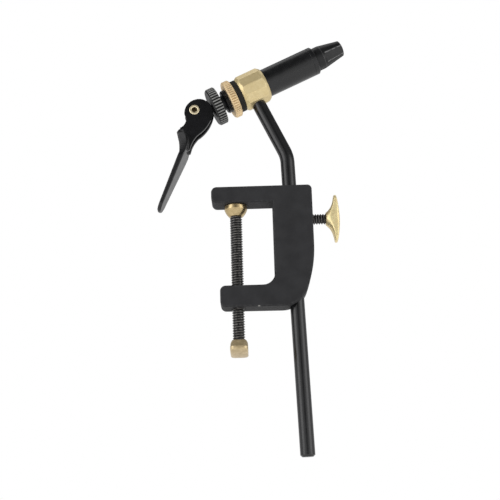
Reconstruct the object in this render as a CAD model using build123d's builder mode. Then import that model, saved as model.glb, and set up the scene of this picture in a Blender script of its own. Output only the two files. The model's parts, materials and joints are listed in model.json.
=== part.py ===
"""A fly tying vise: a C-clamp that grips a table, a bent stem and a turning cam-lever collet head.

The origin lies on the clamp screw's axis, in the table face under the upper arm. +X runs from the screw
to the stem, +Y to the far side and +Z up. Lengths are in millimetres, angles in degrees.
"""

import os
from math import cos, pi, radians, sin, tan

from build123d import *

# Clearances that pieces share, and how far cuts run past what they cut
running_clearance = 0.06
fixed_clearance = 0.02
thrust_gap = 0.10
turning_allowance = 0.10
overrun = 4.0

# C-clamp casting
clamp_depth = 16.0
upper_arm_thickness = 9.8
upper_arm_reach = 14.3
lower_arm_thickness = 12.6
lower_arm_reach = 10.2
throat_height = 50.0
throat_depth = 21.9
wall_thickness = 23.4
wall_straight_drop = 26.5
wall_sweep_radius = 74.0
wall_sweep_angle = 21.0
heel_radius = 15.4
throat_corner_radius = 7.0
arm_end_radius = 3.2
top_corner_radius = 2.6
casting_edge_radius = 0.8

# Clamp screw and its swivel pad
screw_diameter = 7.2
screw_reach = 80.9
screw_nose_diameter = 4.6
pad_diameter = 14.3
pad_rim_height = 2.6
pad_height = 6.8
pad_throat_diameter = 8.2
pad_socket_depth = 4.4
pad_rim_round = 0.6

# Thumb wings on the clamp screw and on the stem lock, alike but for their height
wing_span = 27.8
wing_width = 10.2
clamp_wing_height = 10.0
lock_wing_height = 8.3
wing_hub_diameter = 9.0
wing_rim_diameter = 33.0
wing_rim_thickness = 1.2
wing_rim_setback = 2.3
wing_socket_depth = 5.0
wing_corner_radius = 2.6
wing_edge_radius = 0.5

# Stem and its lock
stem_diameter = 8.5
stem_place = 32.65
stem_lean = 1.6
stem_foot_depth = 148.0
stem_corner_height = 30.3
stem_bend_radius = 20.0
stem_foot_chamfer = 1.1
lock_stud_diameter = 6.2
lock_stud_depth = 9.8
lock_stud_stand_off = 7.9
lock_tip_diameter = 4.6
lock_tip_length = 2.2

# Head: its place, tilt and collar
head_tilt = 25.0
head_rise = 48.4
collar_flats = 21.6
collar_sides = 12
collar_front = 9.4
collar_back = 7.6
collar_face_diameter = 19.2
collar_bevel = 2.2
stem_socket_depth = 2.0
washer_thickness = 3.4
washer_diameter = 20.0
lock_ring_thickness = 4.6
lock_ring_diameter = 23.4
lock_ring_teeth = 48
lock_ring_chamfer = 0.7
tooth_depth = 0.42
tooth_gap_share = 0.42

# Barrel
barrel_diameter = 17.5
barrel_length = 34.5
journal_diameter = 14.6
journal_tail = 2.9
tail_chamfer = 0.8
mouth_chamfer = 0.6
mouth_groove_setback = 3.0
mouth_groove_width = 0.6
mouth_groove_depth = 0.25
spring_seat_depth = 43.0
rear_bore_depth = 12.7

# Adjuster behind the barrel
adjuster_diameter = 23.4
adjuster_thickness = 5.6
adjuster_teeth = 40
adjuster_back_chamfer = 0.9
adjuster_front_chamfer = 0.5
adjuster_neck_diameter = 9.2
adjuster_neck_length = 11.6
adjuster_gap = 2.5

# Split collet jaws
jaw_diameter = 14.6
jaw_land = 4.5
jaw_reach = 18.0
jaw_tip_diameter = 9.7
jaw_tip_crown = 1.0
jaw_seat_angle = 12.0
jaw_mouth_land = 2.0
shank_diameter = 9.8
shank_length = 13.0
jaw_slit = 0.8
slit_length = 34.0
slit_relief_diameter = 2.4
jaw_flat_start = 6.2
jaw_flat_depth = 0.85
jaw_flat_turn = 32.0

# Draw rod and return spring
rod_diameter = 4.4
rod_socket_depth = 7.0
tang_eye_diameter = 9.0
tang_length = 3.8
tang_clearance = 0.95
pivot_rise = 2.4
spring_wire = 0.9
spring_diameter = 9.2
spring_turns = 6
spring_end_gap = 0.15

# Cam lever and its drilled pin
cam_reach = 10.4
cam_gap = 0.25
cam_lift = 3.1
lever_swing = 60.0
cam_overswing = 15.0
cam_base_radius = 6.8
lever_length = 68.0
lever_droop = 226.2
fork_width = 9.0
fork_clearance = 0.3
paddle_width = 20.4
pin_diameter = 6.4
pin_bore = 3.1
pin_bore_depth = 3.0
pin_stand_out = 0.35

# Lever outlines as shares of its length: along the lever from the pivot, then across towards the jaws
neck_share = (0.132, -0.040)
flange_top_share = (0.200, -0.070)
cheek_heel_share = (0.426, 0.016)
cheek_foot_share = (0.372, 0.079)
cheek_hollow_share = (0.292, 0.080)
cheek_turn_share = (0.219, 0.104)
cheek_belly_share = (0.106, 0.160)
slot_end_share = 0.235
lip_inner_share = (0.214, -0.026)
lip_top_share = (0.219, -0.066)
lip_spur_share = (0.255, -0.083)
lip_hollow_share = (0.335, -0.034)
blade_back_share = (0.440, 0.005)
blade_tip_back_share = (0.985, -0.029)
blade_tip_front_share = (0.985, 0.004)
blade_front_share = (0.432, 0.054)
lip_belly_share = (0.340, 0.052)
paddle_top_share = 0.180
paddle_shoulder_share = 0.430
paddle_tip_share = 0.890
paddle_top_width_share = 0.74
paddle_tip_width_share = 0.60


def scaled(shares, size):
    """A point given as shares of one size."""
    return tuple(share * size for share in shares)


# Planes and axes that several pieces stand on
stem_up = Vector(-sin(radians(stem_lean)), 0, cos(radians(stem_lean)))
head_forward = Vector(cos(radians(head_tilt)), 0, sin(radians(head_tilt)))
head_up = Vector(-sin(radians(head_tilt)), 0, cos(radians(head_tilt)))
viewer_side = Vector(0, -1, 0)

stem_base = Vector(stem_place, 0, 0)
stem_corner = stem_base + stem_up * (stem_corner_height / stem_up.Z)
stem_foot = stem_base - stem_up * (stem_foot_depth / stem_up.Z)
head_centre = stem_corner + head_up * head_rise

stem_plane = Plane(origin=stem_base, x_dir=Vector(0, 1, 0), z_dir=stem_up)
head_plane = Plane(origin=head_centre, x_dir=head_forward, z_dir=viewer_side)
head_axis = Axis(head_centre, head_forward)
head_section = Plane(origin=head_centre, x_dir=head_up, z_dir=head_forward)

# Stations along the head axis, counted forward from the stem's axis
washer_back = -collar_back - washer_thickness
ring_front = washer_back - thrust_gap
ring_back = ring_front - lock_ring_thickness
journal_back = ring_back - journal_tail
shoulder = collar_front + thrust_gap
mouth = shoulder + barrel_length
adjuster_front = journal_back - adjuster_gap
adjuster_back = adjuster_front - adjuster_thickness
pivot_station = adjuster_back - cam_gap - cam_reach
spring_seat = mouth - spring_seat_depth
rear_bore_end = journal_back + rear_bore_depth

# Radii of the barrel's bores and of what runs in them
journal_bore_radius = journal_diameter / 2 + running_clearance
guide_radius = shank_diameter / 2 + running_clearance
mouth_radius = jaw_diameter / 2 + running_clearance
rod_bore_radius = rod_diameter / 2 + running_clearance
neck_bore_radius = adjuster_neck_diameter / 2 + running_clearance
seat_run = (jaw_diameter - shank_diameter) / 2 / tan(radians(jaw_seat_angle))
seat_front = mouth - jaw_mouth_land
seat_back = seat_front - seat_run
shank_back = seat_back - shank_length

outer_wall = throat_depth + wall_thickness

os.makedirs("parts", exist_ok=True)


def save(piece, name):
    """Label one finished piece and write it to its own file."""
    piece.label = name
    export_step(piece, f"parts/{name}.step")


# C-clamp frame: one casting with the table face at Z = 0, a stem bore, a lock bore and a screw bore
with BuildPart() as clamp_frame:
    with BuildSketch(Plane.XZ) as frame_outline:
        with BuildLine():
            top = Polyline(
                (-upper_arm_reach, 0),
                (-upper_arm_reach, upper_arm_thickness),
                (outer_wall, upper_arm_thickness),
                (outer_wall, -wall_straight_drop),
            )
            sweep_arc = JernArc(top @ 1, (0, -1), wall_sweep_radius, -wall_sweep_angle)
            heel = JernArc(sweep_arc @ 1, sweep_arc % 1, heel_radius, wall_sweep_angle - 90)
            Polyline(
                heel @ 1,
                (-lower_arm_reach, -throat_height - lower_arm_thickness),
                (-lower_arm_reach, -throat_height),
                (throat_depth, -throat_height),
                (throat_depth, 0),
                (-upper_arm_reach, 0),
            )
        make_face()
        for end in (
            (-upper_arm_reach, 0),
            (-upper_arm_reach, upper_arm_thickness),
            (-lower_arm_reach, -throat_height),
            (-lower_arm_reach, -throat_height - lower_arm_thickness),
        ):
            fillet(frame_outline.vertices().sort_by_distance(end)[0], arm_end_radius)
        throat_corner = frame_outline.vertices().sort_by_distance((throat_depth, -throat_height))[0]
        fillet(throat_corner, throat_corner_radius)
        top_corner = frame_outline.vertices().sort_by_distance((outer_wall, upper_arm_thickness))[0]
        fillet(top_corner, top_corner_radius)
    extrude(amount=clamp_depth / 2, both=True)
    flanks = clamp_frame.faces().filter_by(Axis.Y).sort_by(Axis.Y)
    fillet(flanks[0].edges() + flanks[-1].edges(), casting_edge_radius)
    with BuildSketch(stem_plane):
        Circle(stem_diameter / 2 + running_clearance)
    extrude(amount=throat_height + stem_foot_depth, both=True, mode=Mode.SUBTRACT)
    with BuildSketch(Plane.XY.offset(-throat_height + overrun)):
        Circle(screw_diameter / 2 + running_clearance)
    extrude(amount=-lower_arm_thickness - 2 * overrun, mode=Mode.SUBTRACT)
    with BuildSketch(Plane.YZ.offset(stem_place)):
        with Locations((0, -lock_stud_depth)):
            Circle(lock_stud_diameter / 2 + running_clearance)
    extrude(amount=wall_thickness, mode=Mode.SUBTRACT)
save(clamp_frame.part, "clamp_frame")

# Swivel pad: a bowl whose flat face presses on the table from below
pad_foot = -thrust_gap - pad_height
with BuildPart() as clamp_pad:
    with BuildSketch(Plane.XZ):
        with BuildLine():
            Polyline(
                (0, -thrust_gap),
                (pad_diameter / 2, -thrust_gap),
                (pad_diameter / 2, -thrust_gap - pad_rim_height),
            )
            bowl = TangentArc(
                (pad_diameter / 2, -thrust_gap - pad_rim_height),
                (pad_throat_diameter / 2, pad_foot),
                tangent=(0, -1),
            )
            Polyline(
                bowl @ 1,
                (screw_nose_diameter / 2 + running_clearance, pad_foot),
                (screw_nose_diameter / 2 + running_clearance, pad_foot + pad_socket_depth),
                (0, pad_foot + pad_socket_depth),
                (0, -thrust_gap),
            )
        make_face()
    revolve(axis=Axis.Z)
    fillet(clamp_pad.edges().group_by(Axis.Z)[-1], pad_rim_round)
save(clamp_pad.part, "clamp_pad")

# Clamp screw: a rod with a plain nose that turns in the pad
with BuildPart() as clamp_screw:
    with BuildSketch(Plane.XY.offset(pad_foot - thrust_gap)):
        Circle(screw_diameter / 2)
    extrude(amount=thrust_gap - pad_foot - screw_reach - wing_socket_depth)
    with BuildSketch(Plane.XY.offset(pad_foot - thrust_gap)):
        Circle(screw_nose_diameter / 2)
    extrude(amount=pad_socket_depth)
save(clamp_screw.part, "clamp_screw")


def thumb_wing(base, bore_diameter, height):
    """A thumb wing with its hub on a plane: the plane's normal points out, its X runs along the span."""
    section = Plane(origin=base.origin, x_dir=base.x_dir, z_dir=-base.y_dir)
    rim_radius = wing_rim_diameter / 2
    rim_front = height - wing_rim_setback
    rim_back = rim_front - wing_rim_thickness
    hub_radius = wing_hub_diameter / 2
    with BuildPart() as wing:
        with BuildSketch(section):
            with BuildLine():
                front = TangentArc((0, height), (rim_radius, rim_front), tangent=(1, 0))
                Line(front @ 1, (rim_radius, rim_back))
                Spline(
                    (rim_radius, rim_back),
                    (hub_radius, 0),
                    tangents=[(-rim_radius, -wing_rim_setback / 2), (0, -1)],
                )
                Polyline((hub_radius, 0), (0, 0), front @ 0)
            make_face()
        revolve(axis=Axis(base.origin, base.z_dir))
        with BuildSketch(base):
            RectangleRounded(wing_span, wing_width, wing_corner_radius)
        extrude(amount=height, mode=Mode.INTERSECT)
        crown = wing.faces().sort_by(Axis(base.origin, base.z_dir))[-1]
        fillet(crown.edges(), wing_edge_radius)
        with BuildSketch(base):
            Circle(bore_diameter / 2 + fixed_clearance)
        extrude(amount=wing_socket_depth, mode=Mode.SUBTRACT)
    return wing.part


# Thumb wings on the clamp screw, edge-on to the viewer, and on the stem lock
clamp_wing_base = Plane(origin=(0, 0, -screw_reach), x_dir=(0, 1, 0), z_dir=(0, 0, -1))
clamp_wing = thumb_wing(clamp_wing_base, screw_diameter, clamp_wing_height)
save(clamp_wing, "clamp_wing")

lock_wing_place = outer_wall + lock_stud_stand_off
lock_wing_base = Plane(origin=(lock_wing_place, 0, -lock_stud_depth), x_dir=(0, 0, 1), z_dir=(1, 0, 0))
lock_wing = thumb_wing(lock_wing_base, lock_stud_diameter, lock_wing_height)
save(lock_wing, "lock_wing")

# Lock stud: its plain tip bears on the stem
stem_at_lock = stem_place + lock_stud_depth * tan(radians(stem_lean))
lock_tip = stem_at_lock + stem_diameter / 2 + thrust_gap
with BuildPart() as lock_stud:
    with BuildSketch(Plane.YZ.offset(lock_tip + lock_tip_length)):
        with Locations((0, -lock_stud_depth)):
            Circle(lock_stud_diameter / 2)
    extrude(amount=lock_wing_place + wing_socket_depth - lock_tip - lock_tip_length)
    with BuildSketch(Plane.YZ.offset(lock_tip + lock_tip_length)):
        with Locations((0, -lock_stud_depth)):
            Circle(lock_tip_diameter / 2)
    extrude(amount=-lock_tip_length)
save(lock_stud.part, "lock_stud")

# Stem: one round rod, bent once, with a chamfered foot
stem_top = head_centre - head_up * (collar_flats / 2 - stem_socket_depth)
with BuildPart() as stem:
    with BuildLine():
        FilletPolyline(stem_foot, stem_corner, stem_top, radius=stem_bend_radius)
    with BuildSketch(Plane(origin=stem_foot, z_dir=stem_up)):
        Circle(stem_diameter / 2)
    sweep()
    foot_edge = stem.edges().filter_by(GeomType.CIRCLE).sort_by(Axis.Z)[0]
    chamfer(foot_edge, stem_foot_chamfer)
save(stem.part, "stem")

# Head collar: a twelve-sided brass bush on the stem's top end, its corners turned off at both ends
collar_corner_radius = collar_flats / 2 / cos(pi / collar_sides) + turning_allowance
with BuildPart() as head_collar:
    with BuildSketch(head_section.offset(-collar_back)):
        RegularPolygon(collar_flats / 2, collar_sides, major_radius=False)
    extrude(amount=collar_back + collar_front)
    with BuildSketch(head_plane):
        with BuildLine():
            Polyline(
                (-collar_back, 0),
                (-collar_back, collar_face_diameter / 2),
                (collar_bevel - collar_back, collar_corner_radius),
                (collar_front - collar_bevel, collar_corner_radius),
                (collar_front, collar_face_diameter / 2),
                (collar_front, 0),
                close=True,
            )
        make_face()
    revolve(axis=head_axis, mode=Mode.INTERSECT)
    with BuildSketch(head_section.offset(-collar_back)):
        Circle(journal_bore_radius)
    extrude(amount=collar_back + collar_front, mode=Mode.SUBTRACT)
    with BuildSketch(Plane(origin=stem_top, z_dir=-head_up)):
        Circle(stem_diameter / 2 + fixed_clearance)
    extrude(amount=collar_flats / 2, mode=Mode.SUBTRACT)
save(head_collar.part, "head_collar")

# Friction washer between the collar and the lock ring
with BuildPart() as friction_washer:
    with BuildSketch(head_section.offset(washer_back)):
        Circle(washer_diameter / 2)
        Circle(journal_bore_radius, mode=Mode.SUBTRACT)
    extrude(amount=washer_thickness)
save(friction_washer.part, "friction_washer")


def knurled_disc(plane, diameter, thickness, bore_radius, teeth, back_chamfer, front_chamfer):
    """A bored disc with chamfered rims and straight grooves around it, from a plane along its normal."""
    tooth_pitch = pi * diameter / teeth
    with BuildPart() as disc:
        with BuildSketch(plane):
            Circle(diameter / 2)
        extrude(amount=thickness)
        rims = disc.edges().filter_by(GeomType.CIRCLE).sort_by(Axis(plane.origin, plane.z_dir))
        chamfer(rims[0], back_chamfer)
        chamfer(rims[-1], front_chamfer)
        with BuildSketch(plane):
            with PolarLocations(diameter / 2, teeth):
                Rectangle(2 * tooth_depth, tooth_gap_share * tooth_pitch)
        extrude(amount=thickness, mode=Mode.SUBTRACT)
        with BuildSketch(plane):
            Circle(bore_radius)
        extrude(amount=thickness, mode=Mode.SUBTRACT)
    return disc.part


# Lock ring: knurled brass, run up against the washer
lock_ring = knurled_disc(
    head_section.offset(ring_back),
    lock_ring_diameter,
    lock_ring_thickness,
    journal_bore_radius,
    lock_ring_teeth,
    lock_ring_chamfer,
    lock_ring_chamfer,
)
save(lock_ring, "lock_ring")

# Adjuster: a knurled disc with a hollow neck inside the barrel's tail
adjuster_disc = knurled_disc(
    head_section.offset(adjuster_back),
    adjuster_diameter,
    adjuster_thickness,
    rod_bore_radius,
    adjuster_teeth,
    adjuster_back_chamfer,
    adjuster_front_chamfer,
)
with BuildPart() as adjuster:
    add(adjuster_disc)
    with BuildSketch(head_section.offset(adjuster_front)):
        Circle(adjuster_neck_diameter / 2)
        Circle(rod_bore_radius, mode=Mode.SUBTRACT)
    extrude(amount=adjuster_neck_length)
save(adjuster.part, "adjuster")

# Barrel: a journal through the collar, a shoulder, and a mouth with a tapered seat for the jaws
with BuildPart() as barrel:
    groove_back = mouth - mouth_groove_setback - mouth_groove_width
    groove_front = mouth - mouth_groove_setback
    barrel_radius = barrel_diameter / 2
    with BuildSketch(head_plane):
        with BuildLine():
            Polyline(
                (journal_back, neck_bore_radius),
                (journal_back, journal_diameter / 2 - tail_chamfer),
                (journal_back + tail_chamfer, journal_diameter / 2),
                (shoulder, journal_diameter / 2),
                (shoulder, barrel_radius),
                (groove_back, barrel_radius),
                (groove_back, barrel_radius - mouth_groove_depth),
                (groove_front, barrel_radius - mouth_groove_depth),
                (groove_front, barrel_radius),
                (mouth - mouth_chamfer, barrel_radius),
                (mouth, barrel_radius - mouth_chamfer),
                (mouth, mouth_radius),
                (seat_front, mouth_radius),
                (seat_back, guide_radius),
                (spring_seat, guide_radius),
                (spring_seat, rod_bore_radius),
                (rear_bore_end, rod_bore_radius),
                (rear_bore_end, neck_bore_radius),
                close=True,
            )
        make_face()
    revolve(axis=head_axis)
save(barrel.part, "barrel")

# Jaw collet: a slit nose with ground sides, a seat cone and a shank that takes the draw rod
jaw_tip = mouth + jaw_reach
land_end = mouth + jaw_land
socket_end = shank_back + rod_socket_depth
taper_slope = (jaw_diameter - jaw_tip_diameter) / 2 / (jaw_reach - jaw_land)
flat_station = mouth + jaw_flat_start
flat_radius = jaw_diameter / 2 - taper_slope * (flat_station - land_end) - jaw_flat_depth
with BuildPart() as jaw_collet:
    with BuildSketch(head_plane):
        with BuildLine():
            crown = ThreePointArc(
                (jaw_tip, jaw_tip_diameter / 2),
                (jaw_tip + jaw_tip_crown * 3 / 4, jaw_tip_diameter / 4),
                (jaw_tip + jaw_tip_crown, 0),
            )
            Polyline(
                crown @ 1,
                (socket_end, 0),
                (socket_end, rod_diameter / 2 + fixed_clearance),
                (shank_back, rod_diameter / 2 + fixed_clearance),
                (shank_back, shank_diameter / 2),
                (seat_back, shank_diameter / 2),
                (seat_front, jaw_diameter / 2),
                (land_end, jaw_diameter / 2),
                crown @ 0,
            )
        make_face()
    revolve(axis=head_axis)
    for side in (-1, 1):
        turn = radians(jaw_flat_turn)
        out = Vector(0, side * cos(turn), 0) - head_up * sin(turn)
        flat_normal = (out + head_forward * taper_slope).normalized()
        flat_along = (head_forward - out * taper_slope).normalized()
        flat_origin = head_centre + head_forward * flat_station + out * flat_radius
        with BuildSketch(Plane(origin=flat_origin, x_dir=flat_along, z_dir=flat_normal)):
            Rectangle(jaw_reach, jaw_diameter, align=(Align.MIN, Align.CENTER))
        extrude(amount=jaw_diameter, mode=Mode.SUBTRACT)
    with BuildSketch(head_plane):
        with Locations((jaw_tip + overrun - slit_length, 0)):
            Rectangle(slit_length, jaw_diameter + overrun, align=(Align.MIN, Align.CENTER))
    extrude(amount=jaw_slit / 2, both=True, mode=Mode.SUBTRACT)
    with BuildSketch(Plane(origin=head_centre, x_dir=head_forward, z_dir=head_up)):
        with Locations((jaw_tip + overrun - slit_length, 0)):
            Circle(slit_relief_diameter / 2)
    extrude(amount=jaw_diameter, both=True, mode=Mode.SUBTRACT)
save(jaw_collet.part, "jaw_collet")

# Draw rod: from the jaws' shank back to a flat tang with an eye above the axis
tang_front = adjuster_back - cam_lift - tang_clearance
with BuildPart() as draw_rod:
    with BuildSketch(head_section.offset(tang_front)):
        Circle(rod_diameter / 2)
    extrude(amount=socket_end - tang_front - fixed_clearance)
    with BuildSketch(head_plane):
        with Locations((tang_front - tang_length / 2, 0)):
            Rectangle(tang_length, rod_diameter)
        with Locations((pivot_station, pivot_rise)):
            Circle(tang_eye_diameter / 2)
        make_hull()
        with Locations((pivot_station, pivot_rise)):
            Circle(pin_diameter / 2 + running_clearance, mode=Mode.SUBTRACT)
    extrude(amount=rod_diameter / 2, both=True)
save(draw_rod.part, "draw_rod")

# Return spring in the barrel: quarter-turn arcs between its seat and the end of the jaws' shank
spring_radius = (spring_diameter - spring_wire) / 2
spring_start = spring_seat + spring_wire / 2 + spring_end_gap
spring_run = shank_back - spring_end_gap - spring_wire / 2 - spring_start
quarters = 4 * spring_turns


def spring_point(quarter):
    """A point on the spring's centre line, counted in quarter turns from its seat."""
    turn = quarter * pi / 2
    across = head_up * (spring_radius * cos(turn)) + viewer_side * (spring_radius * sin(turn))
    return head_centre + head_forward * (spring_start + spring_run * quarter / quarters) + across


with BuildPart() as return_spring:
    with BuildLine() as spring_line:
        for quarter in range(quarters):
            ThreePointArc(spring_point(quarter), spring_point(quarter + 0.5), spring_point(quarter + 1))
    with BuildSketch(Plane(origin=spring_line.line @ 0, z_dir=spring_line.line % 0)):
        Circle(spring_wire / 2)
    sweep()
save(return_spring.part, "return_spring")
spring_pitch = spring_run / spring_turns
print(f"return spring: least gap between turns {spring_pitch - spring_wire:.2f} mm")

# Lever: two cam cheeks and a flared paddle, one casting, drawn along its own length
lever_angle = radians(lever_droop)
lever_along = head_forward * cos(lever_angle) + head_up * sin(lever_angle)
pivot = head_centre + head_forward * pivot_station + head_up * pivot_rise
lever_plane = Plane(origin=pivot, x_dir=lever_along, z_dir=viewer_side)
lift_rate = cam_lift / radians(lever_swing)


def cam_point(angle):
    """The cam's edge where its outward normal makes this angle with the head axis, in the lever's plane."""
    normal = radians(angle)
    reach = cam_reach - lift_rate * normal
    forward = reach * cos(normal) + lift_rate * sin(normal)
    upward = reach * sin(normal) - lift_rate * cos(normal)
    along = forward * cos(lever_angle) + upward * sin(lever_angle)
    across = upward * cos(lever_angle) - forward * sin(lever_angle)
    return along, across


def cam_tangent(angle):
    """The direction of the cam's edge at that point, towards smaller reach."""
    heading = radians(angle + 90) - lever_angle
    return cos(heading), sin(heading)


neck_angle = radians(180) - lever_angle
cam_back = (cam_base_radius * cos(neck_angle), cam_base_radius * sin(neck_angle))
cam_steps = 6
cam_angles = [lever_swing * step / cam_steps for step in range(cam_steps + 1)]

with BuildPart() as paddle:
    with BuildSketch(lever_plane):
        with BuildLine():
            Polyline(
                scaled(lip_inner_share, lever_length),
                scaled(lip_top_share, lever_length),
                scaled(lip_spur_share, lever_length),
            )
            ThreePointArc(
                scaled(lip_spur_share, lever_length),
                scaled(lip_hollow_share, lever_length),
                scaled(blade_back_share, lever_length),
            )
            Polyline(
                scaled(blade_back_share, lever_length),
                scaled(blade_tip_back_share, lever_length),
                scaled(blade_tip_front_share, lever_length),
                scaled(blade_front_share, lever_length),
            )
            ThreePointArc(
                scaled(blade_front_share, lever_length),
                scaled(lip_belly_share, lever_length),
                scaled(lip_inner_share, lever_length),
            )
        make_face()
    extrude(amount=paddle_width / 2, both=True)
    with BuildSketch(Plane(origin=pivot, x_dir=lever_along, z_dir=lever_plane.y_dir)):
        half = paddle_width / 2
        with BuildLine():
            left_side = Polyline(
                (paddle_top_share * lever_length, paddle_top_width_share * half),
                (paddle_shoulder_share * lever_length, half),
                (paddle_tip_share * lever_length, paddle_tip_width_share * half),
            )
            ThreePointArc(
                left_side @ 1,
                (blade_tip_back_share[0] * lever_length, 0),
                (paddle_tip_share * lever_length, -paddle_tip_width_share * half),
            )
            Polyline(
                (paddle_tip_share * lever_length, -paddle_tip_width_share * half),
                (paddle_shoulder_share * lever_length, -half),
                (paddle_top_share * lever_length, -paddle_top_width_share * half),
                (paddle_top_share * lever_length, paddle_top_width_share * half),
            )
        make_face()
    extrude(amount=lever_length / 2, both=True, mode=Mode.INTERSECT)

with BuildPart() as lever:
    with BuildSketch(lever_plane):
        with BuildLine():
            cam = Spline(
                *[cam_point(angle) for angle in [-cam_overswing] + cam_angles],
                tangents=[cam_tangent(-cam_overswing), cam_tangent(lever_swing)],
            )
            TangentArc(cam @ 1, cam_back, tangent=cam % 1)
            ThreePointArc(
                cam_back,
                scaled(neck_share, lever_length),
                scaled(flange_top_share, lever_length),
            )
            Polyline(
                scaled(flange_top_share, lever_length),
                scaled(cheek_heel_share, lever_length),
                scaled(cheek_foot_share, lever_length),
            )
            ThreePointArc(
                scaled(cheek_foot_share, lever_length),
                scaled(cheek_hollow_share, lever_length),
                scaled(cheek_turn_share, lever_length),
            )
            ThreePointArc(
                scaled(cheek_turn_share, lever_length),
                scaled(cheek_belly_share, lever_length),
                cam @ 0,
            )
        make_face()
    extrude(amount=fork_width / 2, both=True)
    with BuildSketch(lever_plane):
        with BuildLine():
            slot_end = slot_end_share * lever_length
            slot_half = lever_length / 4
            Polyline(
                (slot_end, -slot_half),
                (slot_end, slot_half),
                (-slot_half, slot_half),
                (-slot_half, -slot_half),
                close=True,
            )
        make_face()
    extrude(amount=rod_diameter / 2 + fork_clearance, both=True, mode=Mode.SUBTRACT)
    add(paddle.part)
    with BuildSketch(lever_plane):
        Circle(pin_diameter / 2 + fixed_clearance)
    extrude(amount=fork_width, both=True, mode=Mode.SUBTRACT)
save(lever.part, "lever")

# Lever pin: a brass pin through both cheeks and the rod's eye, drilled blind from both ends
pin_half = fork_width / 2 + pin_stand_out
with BuildPart() as lever_pin:
    with BuildSketch(lever_plane):
        Circle(pin_diameter / 2)
    extrude(amount=pin_half, both=True)
    for side in (-1, 1):
        with BuildSketch(lever_plane.offset(side * pin_half)):
            Circle(pin_bore / 2)
        extrude(amount=-side * pin_bore_depth, mode=Mode.SUBTRACT)
save(lever_pin.part, "lever_pin")
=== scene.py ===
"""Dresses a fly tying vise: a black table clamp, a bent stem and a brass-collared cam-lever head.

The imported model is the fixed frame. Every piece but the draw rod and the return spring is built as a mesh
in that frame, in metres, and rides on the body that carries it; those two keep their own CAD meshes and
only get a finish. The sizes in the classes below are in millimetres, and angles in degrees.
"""

import json
import logging
from collections.abc import Callable, Sequence
from dataclasses import dataclass
from enum import Enum
from functools import cached_property
from math import acos, atan2, ceil, copysign, cos, hypot, pi, radians, sin, sqrt, tan
from typing import NamedTuple

import bmesh
import bpy
from mathutils import Matrix, Vector


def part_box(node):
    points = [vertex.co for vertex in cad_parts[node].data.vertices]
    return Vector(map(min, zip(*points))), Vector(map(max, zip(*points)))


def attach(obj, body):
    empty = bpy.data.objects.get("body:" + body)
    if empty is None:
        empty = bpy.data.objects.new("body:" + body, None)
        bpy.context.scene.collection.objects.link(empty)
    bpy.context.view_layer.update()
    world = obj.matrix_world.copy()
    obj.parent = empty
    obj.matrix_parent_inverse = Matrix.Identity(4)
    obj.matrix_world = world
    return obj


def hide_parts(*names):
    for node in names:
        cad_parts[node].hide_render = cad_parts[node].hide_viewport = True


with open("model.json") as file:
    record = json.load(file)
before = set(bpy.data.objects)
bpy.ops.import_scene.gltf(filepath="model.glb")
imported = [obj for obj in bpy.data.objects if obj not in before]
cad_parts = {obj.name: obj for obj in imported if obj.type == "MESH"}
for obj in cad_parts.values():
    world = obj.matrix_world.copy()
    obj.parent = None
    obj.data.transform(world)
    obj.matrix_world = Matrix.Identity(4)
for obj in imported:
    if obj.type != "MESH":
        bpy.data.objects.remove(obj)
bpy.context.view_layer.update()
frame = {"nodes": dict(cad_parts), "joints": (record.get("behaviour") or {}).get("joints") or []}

LOG = logging.getLogger("vise")
MM = 0.001
ORIGIN = Vector((0, 0, 0))
ALONG = Vector((1, 0, 0))
ACROSS = Vector((0, 1, 0))
UP = Vector((0, 0, 1))
FULL_TURN = 2 * pi

TURNED_SIDES = 96
CORNER_STEPS = 4
CORNER_SHARE = 0.42
SUPPORT_SHARE = 0.35
SMOOTH_ANGLE = radians(38)
MERGE_DISTANCE = 2e-7
RING_DEPTH = 0.01 * MM

PLAIN = 0.5
EDGE = 1.0
ROOT = 0.0

WHITE = (1.0, 1.0, 1.0, 1.0)
WHOLE = (0.0, 1.0)
MIDDLE = (0.35, 0.65)
BROAD = (0.3, 0.7)
EASED = "SMOOTHSTEP"

Piece = bpy.types.Object
Material = bpy.types.Material
Socket = bpy.types.NodeSocket
Point = tuple[float, float]
Triple = tuple[float, float, float]
Corner = tuple[float, ...]
Colour = Triple
Look = dict[str, object]


class Mark(NamedTuple):
    """One point of an outline or a turned profile, and how exposed it is: an edge, a root or plain."""

    x: float
    y: float
    relief: float = PLAIN


Cut = tuple[float, float]
Shaper = Callable[[float, Mark], Cut]


@dataclass(frozen=True)
class Stand:
    """A local frame on the vise: an origin in metres, an axis and the direction that counts as up."""

    origin: Vector
    along: Vector
    up: Vector

    @property
    def out(self) -> Vector:
        """The third direction, square to the axis and to up."""
        return self.along.cross(self.up)

    def at(self, along: float, up: float = 0.0, out: float = 0.0) -> Vector:
        """The point at these millimetres from the origin."""
        return self.origin + (self.along * along + self.up * up + self.out * out) * MM

    def around(self, along: float, radius: float, angle: float) -> Vector:
        """The point on a circle about the axis; angle 0 is up and a quarter turn is out."""
        return self.at(along, radius * cos(angle), radius * sin(angle))

    def span(self, node: str) -> Point:
        """How far a CAD node reaches along the axis.

        Args:
            node: The node's name.

        Returns:
            Its lowest and highest place, in millimetres.
        """
        corners = frame["nodes"][node].data.vertices
        reach = [(corner.co - self.origin).dot(self.along) / MM for corner in corners]
        return min(reach), max(reach)

    def radius(self, node: str) -> float:
        """The largest distance of a CAD node's points from the axis, in millimetres."""
        away = [corner.co - self.origin for corner in frame["nodes"][node].data.vertices]
        return max((step - self.along * step.dot(self.along)).length for step in away) / MM


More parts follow.
